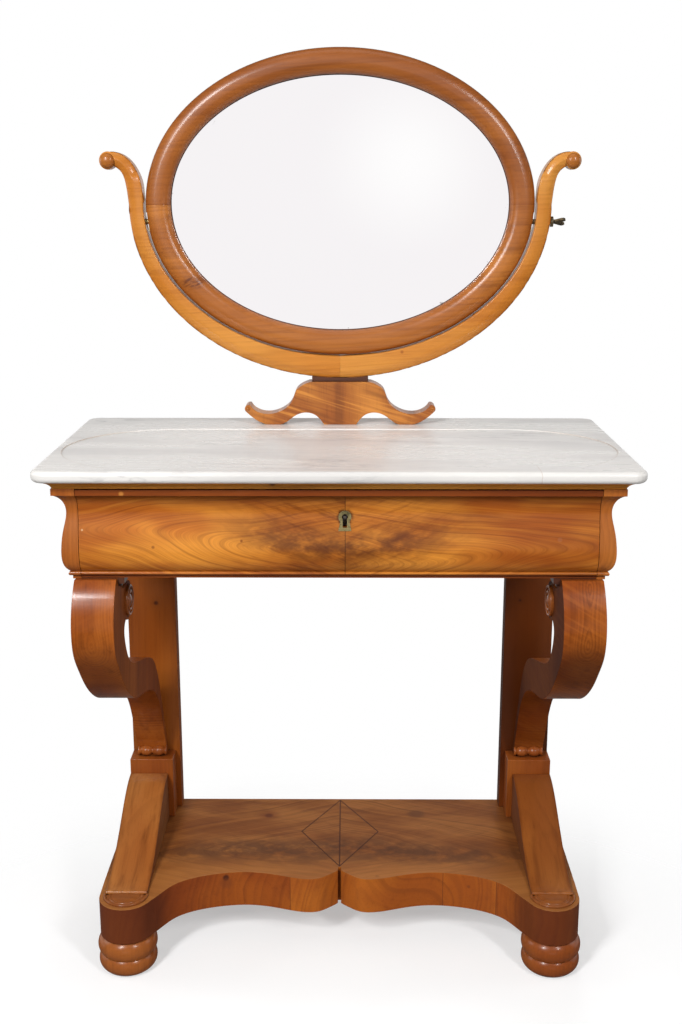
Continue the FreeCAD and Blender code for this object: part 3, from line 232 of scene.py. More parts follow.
def polished(finish, look, colour, late, fibre):
    # French polish over the grain: a soft shine, a little uneven
    haze = finish.noise(finish.node("ShaderNodeTexCoord", output="Object"), scale=look["haze"], detail=3)
    # painted shade: ambient occlusion darkens the colour in closed corners and crevices, standing for shade
    # and grime
    openness = finish.node("ShaderNodeAmbientOcclusion", {"samples": 5}, {"Distance": look["grimeReach"]}, 1)
    openAndClean = finish.rise(openness, *look["bare"])
    colour = finish.mix((1 - openAndClean) * look["grime"], colour, look["grimeColour"])
    if look["dull"]:
        axis, dullness, sideShade = look["dull"]
        facing = finish.node("ShaderNodeSeparateXYZ", inputs={
            0: finish.node("ShaderNodeTexCoord", output="Normal")}, output=axis)
        turnedAway = finish.rise(abs(facing), 0.5, 0.9)
        if axis == 2:   # along z it is the upright faces that are duller, and the top that shines
            turnedAway = 1 - turnedAway
        openAndClean = openAndClean * (1 - turnedAway * dullness)
        # painted shade: faces turned away along the axis are darkened as if in shade
        colour = finish.mix(turnedAway * sideShade, colour, look["grimeColour"])
    strength, depth = look["grain"]
    rough = fibre * 0.1 + haze * 0.12 + (look["rough"] - 0.06)
    return finish.surface(bump=fibre * 0.6 + late * 0.4, strength=strength, depth=depth, Base_Color=colour,
                          Roughness=rough + (1 - openAndClean) * 0.5, Specular_IOR_Level=look["shine"],
                          Coat_Weight=openAndClean * look["coat"], Coat_Roughness=look["coatRough"])


def grainAxes(look, x, y, z):
    return {"x": (x, y, z), "y": (y, x, z), "z": (z, x, y)}[look["along"]]


def wood(name, changes, extra=None):
    look = {**woodLook, **changes}
    finish = Finish(name)
    place, x, y, z = finish.axes()
    colour, late, fibre = woodColour(finish, look, place, *grainAxes(look, x, y, z))
    if extra:
        colour = extra(finish, look, place, x, y, z, colour)
    return polished(finish, look, colour, late, fibre)


def paint(names, material):
    for name in names:
        for slot in nodes[name].material_slots:
            slot.material = material


# Flame veneer: nested tongues of grain that grow out of a dark, feathered fork at a joint
flameLook = {
    **woodLook,
    "joint": 0.009, "axisAt": -0.026, "axisRise": 0.085, "nose": 0.014, "spread": 4.2,
    "tongue": 0.011, "fork": 0.17, "smoke": 0.75, "otherSide": (0.085, 0.024), "jointShade": 0.6,
    "light": toLinear(232, 158, 64), "body": toLinear(188, 108, 36), "deep": toLinear(108, 48, 10),
    "smokeColour": toLinear(86, 42, 20), "fine": 380.0, "feather": 0.5,
}


def flameColour(finish, look, place, x, up):
    # x runs along the veneer, up across it; the figure is book-matched about the joint
    side = x > look["joint"]
    out = abs(x - look["joint"])
    wave = finish.noise(finish.point(x * 4, up * 7 + look["seed"], 0.5), detail=1)
    wave2 = finish.noise(finish.point(x * 5 + 4, up * 9, look["seed"]), detail=1)
    ripple = finish.noise(finish.point(x * 30, up * 40, look["seed"]), detail=1)
    p = out + side * look["otherSide"][0] + (wave - 0.5) * 0.12 + (ripple - 0.5) * 0.005
    t = up - (out * look["axisRise"] + look["axisAt"]) + side * look["otherSide"][1] + (wave2 - 0.5) * 0.04
    bend = (t * t + look["nose"] ** 2) ** 0.5 - look["nose"]
    level = p + bend * look["spread"]
    lines = level / look["tongue"] + finish.noise(finish.point(level * 40, 2, 0)) * 1.6
    phase = lines.part()
    contrast = finish.rise(finish.noise(finish.point(x * 10, up * 30, 4)), 0.35, 0.62) * 0.75 + 0.25
    late = finish.rise(phase, 0.35, 0.85) * (1 - finish.rise(phase, 0.88, 1.0)) * contrast
    second = (level * 3.3 / look["tongue"]).part()
    fineLine = finish.rise(second, 0.4, 0.9) * (1 - finish.rise(second, 0.92, 1.0))
    hair = finish.noise(finish.point(level * look["fine"] * 0.3, p * 8, t * 8), detail=4, rough=0.65)
    cloud = finish.noise(finish.point(x * 7, up * 20, look["seed"] + 2), detail=2)
    near = 1 - finish.rise(out, look["fork"] * 0.35, look["fork"] * 1.25)
    # feathers of the fork: streaks that leave the axis steeply and bend outwards
    feather = finish.noise(finish.point(p * 14 + t * 18, t * 95 - p * 42 + wave * 6, 1), detail=4, rough=0.62)
    band = up - (look["smokeLine"][0] + out * look["smokeLine"][1]) + (wave - 0.5) * 0.06
    smoke = (1 - finish.rise(abs(band), 0.004, look["smokeLine"][2])) * near
    blot = finish.noise(finish.point(x * 26, up * 42, 7), detail=3, rough=0.65)
    colour = finish.mix(finish.rise(cloud, 0.34, 0.66) * 0.75, look["body"], look["light"])
    flow = finish.noise(finish.point(level * 46, p * 3, t * 5), detail=3, rough=0.6)
    colour = finish.mix(finish.rise(flow, 0.5, 0.72) * 0.4, colour, look["deep"])
    colour = finish.mix((1 - finish.rise(flow, 0.3, 0.46)) * 0.45, colour, look["light"])
    colour = finish.mix(late * 0.12 * (1 - near * 0.6), colour, look["deep"])
    colour = finish.mix(fineLine * 0.07, colour, look["deep"])
    colour = finish.mix(finish.rise(hair, 0.42, 0.75) * 0.4, colour, look["deep"])
    colour = finish.mix(near * finish.rise(feather, 0.45, 0.7) * look["feather"], colour, look["deep"])
    pale = near * (1 - finish.rise(feather, 0.26, 0.42))
    colour = finish.mix(pale * look["feather"] * 0.7, colour, look["light"])
    colour = finish.mix(smoke * finish.rise(blot, 0.3, 0.6) * look["smoke"], colour, look["smokeColour"])
    line = 1 - finish.rise(out, 0.0003, 0.0011)
    colour = finish.mix(line * look["jointShade"], colour, toLinear(50, 24, 12))
    return finish.marked(place, look["marks"], colour), late, hair


def flame(name, changes, extra=None):
    look = {**flameLook, **changes}
    finish = Finish(name)
    place, x, y, z = finish.axes()
    up = z - look["level"] if look["upAxis"] == "z" else y - look["level"]
    colour, late, hair = flameColour(finish, look, place, x, up)
    if extra:
        colour = extra(finish, look, place, x, y, z, colour)
    return polished(finish, look, colour, late, hair)


print("drawer and case finishes")
drawerLook = {
    "upAxis": "z", "level": 0.708, "smokeLine": (-0.012, 0.16, 0.036), "seed": 1.3,
    "fillet": 0.7648, "bead": 0.6488, "lock": (0.0085, 0.732),
    "golden": [(-0.23, 0.694, 0.24, 0.085, 1.0), (0.13, 0.682, 0.16, 0.05, 0.55)],   # middle, reach, strength
    "paler": (0.12, 0.03, 0.19, 0.3),     # a paler band: its middle, near and far reach, strength
    "handled": (0.0095, 0.014, 0.75),     # grime round the keyhole plate: from, to, strength
    "shaded": (0.001, 0.0095, 0.55),      # a shade below the fillet: from, to, strength
    "marks": [((-0.3562, -0.1773, 0.7139), 0.0026, 0.7, toLinear(236, 214, 180)),
              ((0.3066, -0.1795, 0.7011), 0.006, 0.12, toLinear(200, 180, 160)),
              ((-0.258, -0.1801, 0.69), 0.004, 0.6, toLinear(110, 52, 18)),
              ((-0.135, -0.18, 0.699), 0.0035, 0.7, toLinear(110, 48, 16))],
}
# the fillet above and the bead below are plain strips along the front
stripLook = {
    **woodLook, "seed": 6.0, "light": toLinear(144, 72, 22), "body": toLinear(112, 50, 12),
    "marks": [((-0.2976, -0.1895, 0.7682), 0.006, 0.5, toLinear(222, 150, 70)),
              ((-0.135, -0.1895, 0.77), 0.01, 0.5, toLinear(130, 64, 24))]}


def drawerEdges(finish, look, place, x, y, z, colour):
    # golden on the left, browner at the middle and at the right end
    gold = 0.0
    for middleX, middleZ, reachX, reachZ, strength in look["golden"]:
        away = (((x - middleX) / reachX) ** 2 + ((z - middleZ) / reachZ) ** 2) ** 0.5
        gold = gold + (1 - finish.rise(away, 0.1, 1.1)) * strength
    broad = finish.noise(finish.point(x * 5, z * 26 + x * 3, 3), detail=2)
    middle, near, far, strength = look["paler"]
    tone = gold.clamp() * 0.75 + finish.rise(broad, 0.3, 0.7) * 0.35
    tone = tone + (1 - finish.rise(abs(x - middle), near, far)) * strength
    shade = finish.mix(tone.clamp(), toLinear(188, 156, 130), toLinear(255, 250, 236))
    colour = finish.mix(1.0, colour, shade, "MULTIPLY")
    near, far, strength = look["shaded"]
    under = (1 - finish.rise(look["fillet"] - z, near, far)) * strength
    colour = finish.mix(under, colour, toLinear(58, 24, 8))
    plate = ((x - look["lock"][0]) ** 2 + (z - look["lock"][1]) ** 2) ** 0.5
    worn = finish.noise(finish.point(x * 160, 0, z * 160), detail=2)
    near, far, strength = look["handled"]
    handled = (1 - finish.rise(plate, near, far)) * finish.rise(worn, 0.3, 0.6)
    colour = finish.mix(handled * strength, colour, toLinear(44, 18, 6))
    plain = woodColour(finish, stripLook, place, x, y, z)[0]
    above = z > look["fillet"]
    below = z < look["bead"]
    colour = finish.mix((above + below).clamp(), colour, plain)
    gap = 1 - finish.rise(abs(z - look["fillet"]), 0.0002, 0.0013)
    gap = gap + 1 - finish.rise(abs(z - look["bead"]), 0.0002, 0.0011)
    return finish.mix(gap.clamp() * 0.75, colour, toLinear(84, 40, 16))


paint(["drawer_front"], flame("flameVeneer", drawerLook, drawerEdges))
paint(["cornice_front"], wood("corniceWood", {
    "seed": 2.0, "light": toLinear(244, 172, 70), "body": toLinear(222, 138, 44), "grime": 0.2,
    "redness": 0.25, "coat": 0.15, "knots": [(-0.09, -0.195, 0.781, 0.006)]}))
paint(["cornice_side_left", "cornice_side_right", "case_side_left", "case_side_right"],
      wood("caseSideWood", {"along": "y", "seed": 4.0, "pith": (0.3, 0.64), "ringDepth": 0.3}))
paint(["case_stile_left", "case_stile_right"], wood("stileWood", {
    "along": "z", "seed": 9.0, "pith": (0.25, -0.32), "light": toLinear(196, 122, 52),
    "body": toLinear(162, 88, 32)}))

print("base and leg finishes")
platformLook = {
    "upAxis": "y", "level": 0.02, "joint": 0.0, "axisAt": 0.0, "axisRise": -0.06, "spread": 3.2,
    "tongue": 0.016, "nose": 0.03, "fork": 0.42, "smoke": 0.7, "smokeLine": (0.0, -0.1, 0.06),
    "feather": 0.28, "otherSide": (0.02, 0.004), "seed": 5.2, "jointShade": 0.0,
    "light": toLinear(164, 104, 50), "body": toLinear(130, 74, 30), "deep": toLinear(84, 42, 16),
    "smokeColour": toLinear(60, 34, 22),
    "edgeJoints": (-0.078, 0.165, 0.247), "top": 0.1175, "dull": (2, 0.5, 0.0),
    "paleFront": (-0.1, 0.03, 0.45),      # the top is paler in front: from, to, strength
    "corner": (0.262, 0.284, 0.72),       # the edge is dark below the ramps: from, to, strength
    "coat": 0.16, "shine": 0.25, "rough": 0.5,
    "marks": [((-0.1236, 0.1305, 0.118), 0.013, 0.95, toLinear(70, 28, 14)),
              ((-0.1236, 0.1305, 0.118), 0.032, 0.5, toLinear(112, 56, 24)),
              ((0.1321, 0.1373, 0.118), 0.026, 0.5, toLinear(76, 44, 28)),
              ((-0.1694, -0.0048, 0.118), 0.006, 0.7, toLinear(84, 40, 22)),
              ((0.06, -0.07, 0.118), 0.006, 0.5, toLinear(70, 40, 24))],
    "edgeMarks": [((-0.1808, -0.0607, 0.109), 0.009, 0.95, toLinear(54, 22, 8)),
                  ((-0.1808, -0.0607, 0.1), 0.018, 0.55, toLinear(120, 58, 20)),
                  ((0.205, -0.067, 0.098), 0.005, 0.6, toLinear(110, 52, 20))],
}
edgeLook = {
    **woodLook, "seed": 3.0, "pith": (0.1, 0.03), "lean": (0.9, 0.1), "ringWidth": 0.011,
    "ringDepth": 0.3, "wander": 0.16, "streak": 0.2, "redness": 0.25,
    "light": toLinear(196, 116, 32), "body": toLinear(158, 82, 18)}


def platformEdge(finish, look, place, x, y, z, colour):
    # short upright lengths of veneer round the shaped edge, one shade to each
    low, middle, high = look["edgeJoints"]
    tone = (x > low) * 0.35 + (x > middle) * 0.3 - (x > high) * 0.55
    tone = tone + finish.noise(finish.point(x * 3, y * 3, 0)) * 0.5
    rim = woodColour(finish, edgeLook, place, y * 0.4, x, z * 0.8)[0]
    near, far, strength = look["paleFront"]
    colour = finish.mix((1 - finish.rise(y, near, far)) * strength, colour, look["light"])
    shade = finish.mix(finish.rise(tone, 0.1, 0.75), toLinear(214, 186, 160), toLinear(255, 248, 236))
    rim = finish.mix(1.0, rim, shade, "MULTIPLY")
    near, far, strength = look["corner"]
    rim = finish.mix(finish.rise(abs(x), near, far) * strength, rim, toLinear(82, 32, 6))
    for joint in look["edgeJoints"]:
        rim = finish.mix((1 - finish.rise(abs(x - joint), 0.0002, 0.0009)) * 0.6, rim, toLinear(70, 32, 14))
    rim = finish.marked(place, look["edgeMarks"], rim)
    return finish.mix(z > look["top"], rim, colour)


paint(["base_platform"], flame("platformVeneer", platformLook, platformEdge))
darkWoodAndShade = wood("darkWoodAndShade", {
    "light": toLinear(92, 56, 38), "body": toLinear(70, 38, 26), "deep": toLinear(36, 18, 12),
    "red": toLinear(84, 38, 24), "ringDepth": 0.3, "rough": 0.32})
# the stringing is dark wood; the stand's neck is painted dark as the shade that falls on it
paint(["platform_stringing", "stand_neck"], darkWoodAndShade)

rampRim = {"middle": 0.328, "half": 0.032, "width": 0.006, "ragged": 0.008, "byBlock": (0.085, 0.13),
           "shade": 0.5}


def wornRim(finish, look, place, x, y, z, colour):
    # the ramp's top is darker along its two edges and towards the block
    inside = rampRim["half"] - abs(abs(x) - rampRim["middle"])
    uneven = finish.noise(finish.point(x * 40, y * 22, z * 22), detail=2) - 0.5
    dark = 1 - finish.rise(inside + uneven * rampRim["ragged"], 0.0, rampRim["width"])
    dark = dark + finish.rise(y, *rampRim["byBlock"]) * 0.5
    return finish.mix(dark.clamp() * rampRim["shade"], colour, look["deep"])


# The right side is painted darker than the left one, as shade, and the left lighter, as lit; the right leg
# has more wormholes
legLook = {"along": "z", "ringWidth": 0.0042, "ringDepth": 0.4, "wander": 0.03, "redness": 0.45,
           "shine": 0.08, "figureSize": 190.0, "light": toLinear(184, 104, 38),
           "body": toLinear(138, 66, 18), "deep": toLinear(76, 30, 6)}
rampLook = {"along": "y", "lean": (0, 0.32), "ringDepth": 0.14, "ringWidth": 0.009, "cloud": 0.5,
            "redness": 0.5, "streak": 0.55, "dull": (0, 0.6, 0.3), "deep": toLinear(92, 44, 16)}
sideLooks = {
    # painted light and shade: the left post and ramp colours are lighter, as lit, the right ones darker, as
    # in shade
    "left": {
        "sign": -1, "figure": 0.05, "legSideShade": 0.25, "scrollShade": 0.2, "postSideShade": 0.35, "postShade": 0,
        "postLight": toLinear(172, 98, 34), "postBody": toLinear(142, 72, 22),
        "postKnot": (-0.3117, 0.165, 0.4943, 0.005),
        "rampLight": toLinear(206, 140, 72), "rampBody": toLinear(166, 100, 46),
        "holes": [(-0.3531, -0.1772, 0.6359)]},
    "right": {
        "sign": 1, "figure": 0.2, "legSideShade": 0.7, "scrollShade": 0.6, "postSideShade": 0.6, "postShade": 0.6,
        "postLight": toLinear(140, 74, 26), "postBody": toLinear(108, 52, 16),
        "postKnot": (0.304, 0.165, 0.5, 0.003),
        "rampLight": toLinear(178, 110, 48), "rampBody": toLinear(134, 72, 28),
        "holes": [(0.3229, -0.1783, 0.6346), (0.3562, -0.1788, 0.6338), (0.3249, -0.1904, 0.6149),
                  (0.3365, -0.1911, 0.6134), (0.3396, -0.1984, 0.5939)]},
}
for side, own in sideLooks.items():
    sign = own["sign"]
    paint([f"scroll_leg_{side}"], wood(f"legWood_{side}", {
        **legLook, "seed": 11.0 + sign * 2, "pith": (sign * 0.338, -0.36), "lean": (0.02 * sign, 0.28),
        "figure": own["figure"], "figureLean": sign * 0.55, "dull": (0, 0.75, own["legSideShade"]),
        "marks": [(hole, 0.0016, 1.0, wormColour) for hole in own["holes"]]
        # painted shade: each scroll's lower curve, and the lower part of the right leg, darkened as they fall
        # in shade
        + [((sign * 0.345, -0.185, 0.505), 0.1, own["scrollShade"], toLinear(74, 28, 5)),
           ((0.318, 0.11, 0.3), 0.2, 0.6, toLinear(78, 28, 4))]}))
    paint([f"rear_post_{side}"], wood(f"postWood_{side}", {
        "along": "z", "seed": 17.0 + sign * 3, "pith": (sign * 0.2, 0.3), "ringDepth": 0.16,
        "dull": (0, 0.7, own["postSideShade"]), "light": own["postLight"], "body": own["postBody"],
        "knots": [own["postKnot"]],
        # painted shade: the right post darkened low down, as it falls in shade
        "marks": [((0.3, 0.165, 0.3), 0.26, own["postShade"], toLinear(58, 22, 6))]}))
    paint([f"leg_block_{side}", f"leg_spindle_{side}"], wood(f"blockWood_{side}", {
        "along": "z", "seed": 23.0 + sign, "body": toLinear(140, 70, 24), "light": toLinear(172, 98, 38)}))
    paint([f"base_ramp_{side}"], wood(f"rampWood_{side}", {
        **rampLook, "seed": 29.0 + sign * 5, "pith": (sign * 0.30, 0.02), "light": own["rampLight"],
        "body": own["rampBody"]}, wornRim))
    paint([f"corner_patera_{side}"], wood(f"pateraWood_{side}", {
        "along": "x", "seed": 31.0 + sign, "body": toLinear(130, 72, 32), "light": toLinear(164, 98, 46)}))
    paint([f"leg_rosettes_{side}"], wood(f"rosetteWood_{side}", {
        "along": "x", "seed": 37.0 + sign, "body": toLinear(138, 72, 26), "light": toLinear(176, 104, 44)}))
paint([name for name in nodes if name.startswith("foot_")], wood("footWood", {
    "along": "z", "seed": 41.0, "pith": (0.1, -0.1), "ringDepth": 0.12, "redness": 0.4, "streak": 0.2,
    "light": toLinear(170, 100, 44), "body": toLinear(136, 68, 24), "deep": toLinear(80, 36, 12)}))

print("mirror, yoke and stand finishes")
honeyLook = {"light": toLinear(212, 148, 68), "body": toLinear(190, 118, 40), "deep": toLinear(138, 74, 18),
             "red": toLinear(172, 94, 30), "redness": 0.35, "ringDepth": 0.2, "streak": 0.3,
             "pith": (0.3, -0.2), "ringWidth": 0.007, "wander": 0.08, "grimeReach": 0.004}
yokeMarks = [((0.0987, 0.148, 0.9211), 0.0045, 0.7, toLinear(140, 74, 30)),
             ((0.3153, 0.148, 1.0883), 0.003, 0.9, toLinear(90, 40, 16))]
paint(["yoke_left"], wood("honeyYoke_left", {**honeyLook, "seed": 43.0}))
paint(["yoke_right"], wood("honeyYoke_right", {**honeyLook, "seed": 47.0, "marks": yokeMarks}))
frameLook = {"deep": toLinear(92, 42, 14), "red": toLinear(122, 58, 16),
             "ringDepth": 0.2, "pith": (0.17, 1.45), "ringWidth": 0.0075, "streak": 0.35,
             "rough": 0.4, "coat": 0.5, "coatRough": 0.24, "grimeReach": 0.004}
scarLook = {"x": -0.232, "z": 1.03, "halfWide": 0.024, "halfTall": 0.014, "colour": toLinear(84, 36, 14)}


def branchScar(finish, look, place, x, y, z, colour):
    # the dark, streaky trace of a branch across the frame
    p, q = x - scarLook["x"], z - scarLook["z"]
    patch = ((p / scarLook["halfWide"]) ** 2 + (q / scarLook["halfTall"]) ** 2) ** 0.5
    lines = finish.noise(finish.point(p * 50 + q * 20, q * 210 - p * 80, 3), detail=3, rough=0.6)
    scar = (1 - finish.rise(patch, 0.35, 1.0)) * (finish.rise(lines, 0.42, 0.6) * 0.7 + 0.2)
    return finish.mix(scar, colour, scarLook["colour"])


paint(["mirror_frame_upper"], wood("frameWood_upper", {
    **frameLook, "seed": 51.0, "redness": 0.5, "light": toLinear(172, 102, 40),
    "body": toLinear(140, 76, 26)}))
paint(["mirror_frame_lower"], wood("frameWood_lower", {
    **frameLook, "seed": 53.0, "light": toLinear(192, 120, 48), "body": toLinear(158, 90, 32),
    "streak": 0.5}, branchScar))
paint(["mirror_stand"], wood("fiddleback", {
    "along": "z", "seed": 57.0, "light": toLinear(210, 138, 58), "body": toLinear(146, 80, 28),
    "deep": toLinear(84, 38, 12), "figure": 0.6, "figureSize": 170.0, "figureLean": 0.3, "ringDepth": 0.04,
    "pith": (0.5, 0.7), "dull": (2, 0.3, 0.0), "coat": 0.25, "shine": 0.3}))

silverLook = {
    "tints": ((0.915, 0.89, 0.905), (0.94, 0.915, 0.925)), "level": 0.66, "paintedRoomGlow": 0.5, "rough": 0.012,
    "glowAt": (0.105, 0.166, 1.215), "glowRadius": 0.16, "glow": (1.0, 0.99, 0.99),
    "halfWide": 0.2655, "halfTall": 0.195, "rim": 0.955, "lost": (0.25, 0.24, 0.22),
}


def silvered(look):
    # the glass glows a little on its own as a painted reflection of a pale room, with a painted paler patch
    # of reflected light and a little silver lost at the rim
    finish = Finish("mirror")
    place, x, y, z = finish.axes()
    # painted reflection: a paler patch of reflected light on the glass
    glow = finish.spot(place, look["glowAt"], look["glowRadius"])
    edge = ((x / look["halfWide"]) ** 2 + ((z - mirrorZ) / look["halfTall"]) ** 2) ** 0.5
    speck = finish.rise(finish.noise(finish.point(x * 90, y, z * 90), detail=3), 0.66, 0.72)
    lost = finish.rise(edge, look["rim"], 1.0) * speck
    tint = finish.mix(finish.noise(finish.point(x * 2, 0, z * 3), detail=1), *look["tints"])
    tint = finish.mix(glow, tint, look["glow"])
    tint = finish.mix(lost * 0.6, tint, look["lost"])
    tint = finish.mix(1.0, tint, (look["level"],) * 3, "MULTIPLY")
    # painted light: the glass shines by its own emission, standing for a pale room's reflection
    return finish.surface(Base_Color=tint, Metallic=1.0, Roughness=lost * 0.4 + look["rough"],
                          Emission_Color=tint, Emission_Strength=look["paintedRoomGlow"])


paint(["mirror_glass"], silvered(silverLook))

print("marble, brass, steel and deal")
marbleLook = {
    "white": toLinear(222, 219, 215), "cloud": toLinear(197, 194, 192), "vein": toLinear(152, 150, 151),
    "tan": toLinear(178, 158, 138),
    "cloudy": 0.62, "threads": (0.03, 0.4), "fineThreads": (0.022, 0.28),   # width and strength
    "field": (0.2495, -0.0475, 0.1555),   # where the field's round ends begin, their middle and radius
    "rimTan": (0.29, 0.37), "topZ": 0.8,  # the field's edge is tan towards its ends, on the top face only
    "crack": (0.2732, 0.0007, -0.16),     # where it is, its width and how far back it runs
    "rough": 0.27, "shine": 0.4,
}


def marble(look):
    finish = Finish("marble")
    place, x, y, z = finish.axes()
    drift = finish.noise(finish.point(x * 2, y * 5, z * 5), detail=2)
    flow = finish.point(x * 2.6 + drift * 0.8, y * 13 + x * 1.2, z * 13)
    cloud = finish.rise(finish.noise(flow, detail=5, rough=0.6), 0.4, 0.66)
    vein = finish.noise(flow, scale=1.4, detail=6, rough=0.62)
    fineVein = finish.noise(finish.point(x * 5 + 3, y * 26 - x * 4, z * 26), detail=5)
    thread = 1 - finish.rise(abs(vein - 0.5), 0.0, look["threads"][0])
    second = 1 - finish.rise(abs(fineVein - 0.5), 0.0, look["fineThreads"][0])
    where = finish.rise(finish.noise(finish.point(x * 4, y * 7, z * 7 + 5), detail=2), 0.5, 0.66)
    colour = finish.mix(cloud * look["cloudy"], look["white"], look["cloud"])
    colour = finish.mix(thread * where * look["threads"][1], colour, look["vein"])
    colour = finish.mix(second * where * look["fineThreads"][1], colour, look["vein"])
    begin, middle, radius = look["field"]
    away = ((abs(x) - begin) ** 2 + (y - middle) ** 2) ** 0.5
    rim = (1 - finish.rise(abs(away - radius), 0.0003, 0.0018)) * finish.rise(abs(x), *look["rimTan"])
    colour = finish.mix(rim * (z > look["topZ"]) * 0.4, colour, look["tan"])
    wiggle = (finish.noise(finish.point(2, y * 60, z * 120), detail=3) - 0.5) * 0.004
    crackX, crackWidth, crackEnd = look["crack"]
    crack = (1 - finish.rise(abs(x - crackX + wiggle), 0.0001, crackWidth)) * (y < crackEnd)
    colour = finish.mix(crack * 0.6, colour, look["tan"])
    grain = finish.noise(place, scale=700, detail=2)
    return finish.surface(bump=grain, strength=0.03, depth=0.0002, Base_Color=colour,
                          Roughness=cloud * 0.06 + thread * 0.08 + look["rough"],
                          Specular_IOR_Level=look["shine"])


paint(["marble_top"], marble(marbleLook))


def metal(name, bright, dull, scale, rough):
    # worn bright where it is handled, dull in patches
    finish = Finish(name)
    place, x, y, z = finish.axes()
    patch = finish.rise(finish.noise(place, scale=scale, detail=4, rough=0.65), 0.4, 0.68)
    fine = finish.noise(place, scale=scale * 6, detail=3)
    brushed = finish.noise(finish.point(x * 300, y * 300, z * 2600), detail=2)
    return finish.surface(bump=fine + brushed * 0.5, strength=0.12, depth=0.0003,
                          Base_Color=finish.mix(patch, bright, dull), Metallic=1 - patch * 0.3,
                          Roughness=patch * 0.25 + fine * 0.1 + rough)


brass = metal("agedBrass", toLinear(186, 170, 118), toLinear(112, 98, 62), 160, 0.24)
steel = metal("filedSteel", toLinear(140, 136, 130), toLinear(84, 66, 54), 120, 0.3)
plateBrass = metal("plateBrass", toLinear(158, 144, 100), toLinear(88, 80, 52), 200, 0.3)
paint(["pivot_plate_left", "pivot_plate_right", "pivot_pin_left"], brass)
darkBrass = metal("darkBrass", toLinear(128, 112, 84), toLinear(58, 50, 40), 140, 0.32)
paint(["thumbscrew"], darkBrass)
paint(["escutcheon"], plateBrass)
paint([name for name in nodes if name.startswith(("lock_", "stand_bolts", "backboard_screws"))], steel)
dealLook = {
    "light": toLinear(216, 184, 136), "body": toLinear(196, 158, 106), "deep": toLinear(150, 108, 64),
    "red": toLinear(170, 120, 72), "ringDepth": 0.5, "ringWidth": 0.0042, "redness": 0.25,
    "rough": 0.55, "coat": 0.0}
paint(["case_back", "front_rail", "rear_rail", "drawer_back", "drawer_bottom"], wood("deal_long", {
    **dealLook, "seed": 61.0, "pith": (0.1, 0.55),
    "knots": [(0.17, 0.193, 0.735, 0.009), (-0.22, 0.193, 0.69, 0.007)]}))
paint(["mirror_backboard"], wood("deal_backboard", {
    **dealLook, "seed": 67.0, "pith": (0.12, 1.05), "light": toLinear(196, 160, 112),
    "body": toLinear(176, 136, 88), "knots": [(0.09, 0.177, 1.19, 0.011), (-0.13, 0.177, 1.08, 0.008)]}))
dovetails = {"frontY": -0.1508, "frontEnd": -0.1368, "rearY": 0.163, "rearEnd": 0.1528, "bottomZ": 0.6593,
             "pitch": 0.024, "slant": 6, "half": 0.36, "front": toLinear(140, 76, 34),
             "rear": toLinear(176, 134, 84), "line": toLinear(70, 40, 20)}


def drawerSides():
    # deal boards with the front's cherry showing between the dovetails
    finish = Finish("dovetailedDeal")
    look = {**woodLook, **dealLook, "along": "y", "seed": 71.0, "pith": (0.3, 0.6)}
    place, x, y, z = finish.axes()
    colour, late, fibre = woodColour(finish, look, place, y, x, z)
    row = abs(((z - dovetails["bottomZ"]) / dovetails["pitch"]).part() - 0.5)
    spread = row + (y - dovetails["frontY"]) * dovetails["slant"]
    rearSpread = row + (dovetails["rearY"] - y) * dovetails["slant"]
    atFront = y < dovetails["frontEnd"]
    atRear = y > dovetails["rearEnd"]
    colour = finish.mix(atFront * (spread > dovetails["half"]), colour, dovetails["front"])
    colour = finish.mix(atRear * (rearSpread > dovetails["half"]), colour, dovetails["rear"])
    outline = (1 - finish.rise(abs(spread - dovetails["half"]), 0.004, 0.02)) * atFront
    outline = outline + (1 - finish.rise(abs(y - dovetails["frontEnd"]), 0.0001, 0.0005))
    colour = finish.mix(outline.clamp() * 0.6, colour, dovetails["line"])
    return polished(finish, look, colour, late, fibre)


paint([name for name in nodes if name.startswith(("drawer_side", "drawer_runner", "drawer_kicker"))],
      drawerSides())


# Edges of the solids are eased, as hand-planed and polished wood is
print("eased edges")
easing = {"segments": 2, "angle": 32, "weld": 0.00002, "flat": 0.4, "weight": 80, "widths": {
    "scroll_leg": 0.0012, "rear_post": 0.0009, "mirror_stand": 0.0014, "base_platform": 0.001,
    "base_ramp": 0.0014, "leg_block": 0.001, "case_stile": 0.0007, "case_side": 0.0008, "cornice": 0.0006,
    "drawer_front": 0.0006, "drawer_side": 0.0006, "drawer_back": 0.0006, "stand_neck": 0.0005,
    "mirror_backboard": 0.0007, "mirror_frame": 0.0004, "marble": 0.0005, "escutcheon": 0.0003,
    "pivot_plate": 0.0003, "lock_case": 0.0003}}


def ease(name, width):
    piece = nodes[name]
    weld = piece.modifiers.new("weld", "WELD")
    weld.merge_threshold = easing["weld"]
    merge = piece.modifiers.new("flatFaces", "DECIMATE")
    merge.decimate_type = "DISSOLVE"
    merge.angle_limit = math.radians(easing["flat"])
    soft = piece.modifiers.new("easedEdges", "BEVEL")
    soft.width = width
    soft.segments = easing["segments"]
    soft.limit_method = "ANGLE"
    soft.angle_limit = math.radians(easing["angle"])
    soft.use_clamp_overlap = True
    even = piece.modifiers.new("evenShading", "WEIGHTED_NORMAL")
    even.keep_sharp = False
    even.weight = easing["weight"]


for name in nodes:
    for stem, width in easing["widths"].items():
        if name.startswith(stem):
            ease(name, width)
            break

# Each half of the yoke is rounded over towards its outside, and crisp next to the mirror and at the joint
yokeRound = {
    "outer": (0.018, 0.0062, 2.2), "inner": (0.0015, 0.001, 2.0),   # reach, depth and power of the shoulder
    "front": 0.14805,         # just behind the flat front
    "mesh": 0.0022, "passes": 7, "ballZ": 1.2, "sharp": 30,
    "facing": 0.99, "upright": 0.3,   # how squarely a face of the front, or of the sides, looks forward
}


